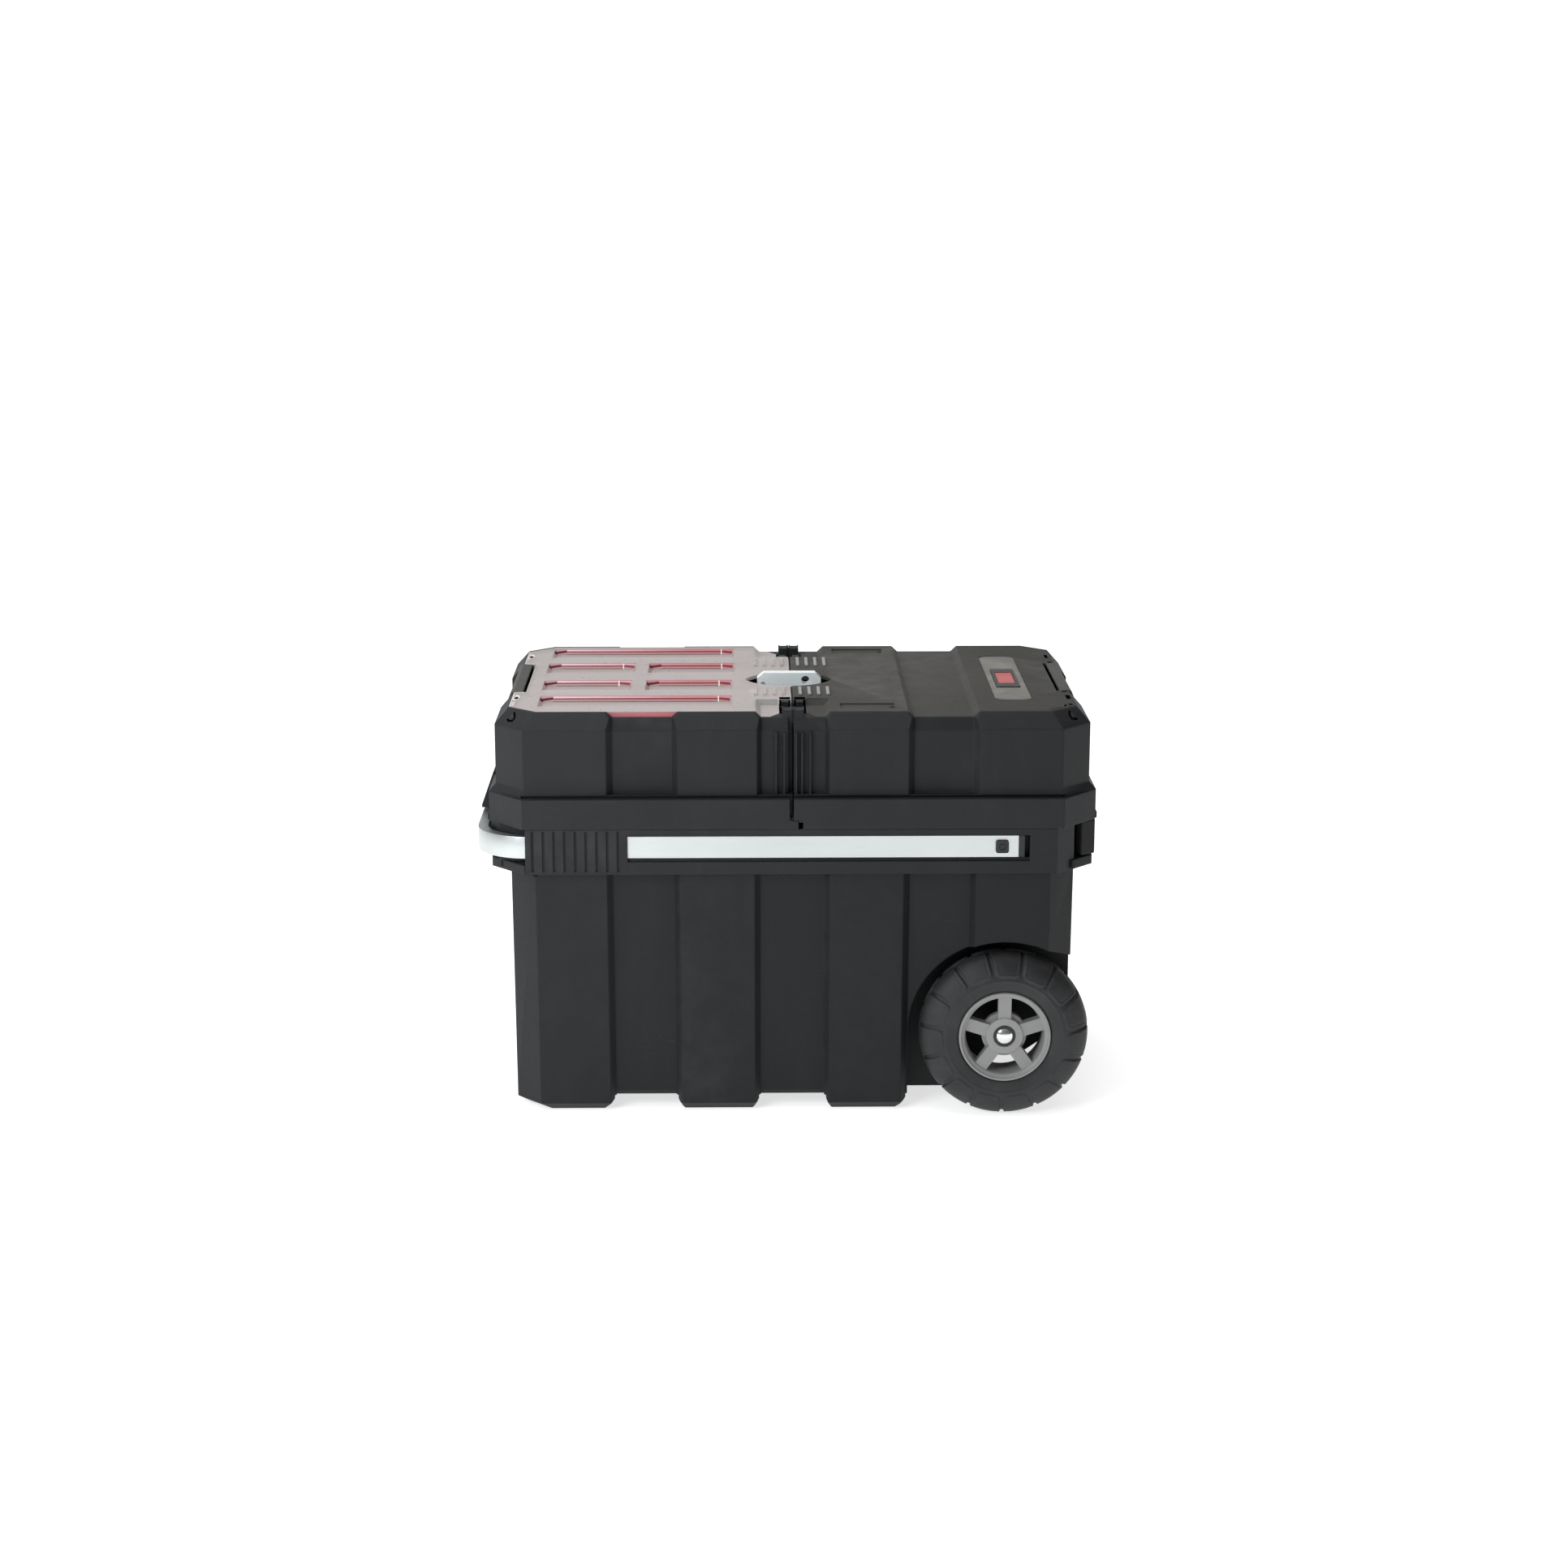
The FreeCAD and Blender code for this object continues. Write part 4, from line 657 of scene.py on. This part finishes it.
# ------------------------------------------------------------------ tyres
def tyre(name, side, body, node):
    """Pneumatic-style tread: fifteen rounded lugs a side, the far row half a pitch on."""
    import numpy as np
    key = [(45.4, -176.0), (45.4, -179.6), (46.6, -181.2), (50, -181.9), (54, -182.3), (58, -182.55), (61, -182.5), (65, -181.2), (70, -179.2), (74, -177.0), (77.6, -174.3),
           (80.4, -171.4), (82.2, -168.0), (83.2, -164.4), (83.65, -160.4), (83.7, -158.0), (83.65, -155.4), (83.2, -151.4), (82.2, -147.8), (80.4, -144.4), (77.6, -141.5),
           (74, -138.8), (70, -136.6), (65, -134.7), (61, -133.6), (57, -133.5), (52, -133.9), (47.6, -135.4), (45.6, -137.2), (45.4, -140.0)]
    key = np.array(key)
    seg = np.sqrt((np.diff(key, axis=0) ** 2).sum(1))
    arc = np.concatenate([[0], np.cumsum(seg)])
    s_ = np.arange(0, arc[-1], 0.95)
    s_ = np.append(s_, arc[-1])
    R = np.interp(s_, arc, key[:, 0])
    Y = np.interp(s_, arc, key[:, 1])
    # smooth the polyline a little, ends fixed
    for _ in range(3):
        R[1:-1] = (R[:-2] + 2 * R[1:-1] + R[2:]) / 4
        Y[1:-1] = (Y[:-2] + 2 * Y[1:-1] + Y[2:]) / 4
    tR, tY = np.gradient(R), np.gradient(Y)
    ln = np.sqrt(tR ** 2 + tY ** 2)
    nR, nY = -tY / ln, tR / ln          # points into the rubber or out of it; fixed below
    mid = len(R) // 2
    if nR[mid] > 0:
        nR, nY = -nR, -nY               # inward
    base = [0, 0.6, 1.1, 1.5, 1.9, 2.3, 2.8, 3.5, 4.6, 6.0, 7.4, 8.5, 9.2, 9.7, 10.1, 10.5, 10.9, 11.4]
    th = np.array([k * 12 + b for k in range(30) for b in base])
    T_, S_ = np.meshgrid(np.radians(th), np.arange(len(R)), indexing="ij")
    Rr, Yy = R[S_], Y[S_]
    # distance along the section from where the lugs begin
    i0 = int(np.argmin(np.abs(R[: mid] - 62.0)))
    i1 = mid + int(np.argmin(np.abs(R[mid:] - 62.0)))
    u = (S_ - i0) * 0.95
    total = (i1 - i0) * 0.95
    half = total / 2
    depth = np.interp(Rr, [45, 56, 62, 72, 84], [0.55, 0.55, 1.0, 2.0, 2.4])

    def lug(centre_deg, lo, hi, skew):
        ph = (np.degrees(T_) - centre_deg + 12 + skew * (u - half) / half) % 24 - 12
        a = np.radians(ph) * Rr
        hx = np.radians(12.0) * Rr - 2.1
        um, hu = (lo + hi) / 2, (hi - lo) / 2
        r = 5.0
        qx, qy = np.abs(a) - hx + r, np.abs(u - um) - hu + r
        return np.sqrt(np.maximum(qx, 0) ** 2 + np.maximum(qy, 0) ** 2) + np.minimum(np.maximum(qx, qy), 0) - r

    sd = np.minimum(lug(0.0, 0.0, half - 1.2, 2.0), lug(12.0, half + 1.2, total, 2.0))
    up = np.clip((0.9 - sd) / 1.5, 0, 1)
    up = up * up * (3 - 2 * up)
    # a shallow sipe across each lug and a soft crown on its face
    sipe = np.exp(-((sd + 3.2) / 0.55) ** 2) * 0.35
    disp = depth * (1 - up) + sipe * up
    ring = np.exp(-(((Rr - 57.6) / 0.8) ** 2)) * (Rr < 60)
    disp = disp * (1 - ring * 0.9)
    bead = np.clip((Rr - 45.4) / 2.5, 0, 1)
    disp = disp * bead
    Ro = Rr + nR[S_] * disp
    Yo = Yy + nY[S_] * disp
    if side > 0:
        Yo = -Yo
    X = 208.2 + Ro * np.sin(T_)
    Z = 83.7 + Ro * np.cos(T_)
    Z = np.maximum(Z, 0.02)
    nT, nS = T_.shape
    verts = np.stack([(X + 6.0) / 1000, Yo / 1000, Z / 1000], -1).reshape(-1, 3)
    faces = []
    for i in range(nT):
        j = (i + 1) % nT
        for k in range(nS - 1):
            faces.append((i * nS + k, i * nS + k + 1, j * nS + k + 1, j * nS + k))
        faces.append((i * nS + nS - 1, i * nS, j * nS, j * nS + nS - 1))   # bead seat
    o = make(name, verts.tolist(), faces, M["tyre_rubber"], body, smooth=True)
    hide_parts(node)
    return o


tyre("tyre_tread_front", -1, "front_wheel", "tyre_front")
tyre("tyre_tread_rear", 1, "rear_wheel", "tyre_rear")

# ------------------------------------------------------------------ stage, light, camera
def stage():
    me = bpy.data.meshes.new("floor")
    s = 40.0
    me.from_pydata([(-s, -s, 0), (s, -s, 0), (s, s, 0), (-s, s, 0)], [], [(0, 1, 2, 3)])
    o = bpy.data.objects.new("floor", me)
    bpy.context.collection.objects.link(o)
    k = Mat("floor_white")
    k.set(Base_Color=k.mix(k.noise(0.8, 2.0), (0.90, 0.90, 0.90), (0.92, 0.92, 0.92)), Roughness=0.9)
    k.bsdf.inputs["Specular IOR Level"].default_value = 0.1
    k.bsdf.inputs["Emission Color"].default_value = (1, 1, 1, 1)
    k.bsdf.inputs["Emission Strength"].default_value = 0.68
    o.data.materials.append(k.m)


stage()


def area(name, loc, target, size, power, sy=None):
    l = bpy.data.lights.new(name, "AREA")
    l.energy = power
    l.shape = "RECTANGLE"
    l.size = size
    l.size_y = sy or size
    o = bpy.data.objects.new(name, l)
    bpy.context.collection.objects.link(o)
    o.location = loc
    d = Vector(target) - Vector(loc)
    o.rotation_euler = d.to_track_quat("-Z", "Y").to_euler()
    return o


area("key_left", (-1.05, -1.35, 1.0), (-0.05, 0, 0.25), 0.9, 13.2, 0.7).data.color = (0.95, 1.0, 1.04)
area("top", (-0.4, 0.1, 2.8), (0, 0, 0.3), 2.4, 40, 2.0)

w = bpy.data.worlds.new("studio")
bpy.context.scene.world = w
w.use_nodes = True
nt = w.node_tree
nt.nodes.clear()
wo = nt.nodes.new("ShaderNodeOutputWorld")
bg = nt.nodes.new("ShaderNodeBackground")
nt.links.new(bg.outputs[0], wo.inputs[0])
tc = nt.nodes.new("ShaderNodeTexCoord")
sp = nt.nodes.new("ShaderNodeSeparateXYZ")
nt.links.new(tc.outputs["Generated"], sp.inputs[0])


def span(src, a, b, lo, hi):
    """Linear blend lo..hi while src runs a..b."""
    n = nt.nodes.new("ShaderNodeMapRange")
    n.inputs["From Min"].default_value = a
    n.inputs["From Max"].default_value = b
    n.inputs["To Min"].default_value = lo
    n.inputs["To Max"].default_value = hi
    nt.links.new(src, n.inputs["Value"])
    return n.outputs[0]


def times(a, b, op="MULTIPLY"):
    n = nt.nodes.new("ShaderNodeMath", )
    n.operation = op
    nt.links.new(a, n.inputs[0])
    nt.links.new(b, n.inputs[1])
    return n.outputs[0]


# a white horizon behind the box, a dimmer room above it, less light from the right
side = span(sp.outputs["X"], -0.9, 0.9, 1.15, 0.25)
front = span(sp.outputs["Y"], -0.5, 0.5, 0.42, 0.80)
room = times(side, front)
horizon = times(span(sp.outputs["Z"], 0.05, 0.14, 1.2, 0.0), span(sp.outputs["Y"], 0.3, 0.6, 0.0, 1.0))
high = times(room, span(sp.outputs["Z"], 0.0, 0.9, 0.55, 1.0))
nt.links.new(times(horizon, high, "MAXIMUM"), bg.inputs["Strength"])
bg.inputs["Color"].default_value = (1, 1, 1, 1)

cam = bpy.data.cameras.new("camera")
cam.lens = 3579.0 / 1932.0 * 36.0
cam.sensor_width = 36.0
cam.clip_end = 200
co = bpy.data.objects.new("camera", cam)
bpy.context.collection.objects.link(co)
co.location = (-0.045 + DX, -2.8966, 0.9929)
co.rotation_euler = Euler((math.radians(90 - 13.51), 0, math.radians(-0.76)), "XYZ")
bpy.context.scene.camera = co
bpy.context.scene.view_settings.view_transform = "Standard"
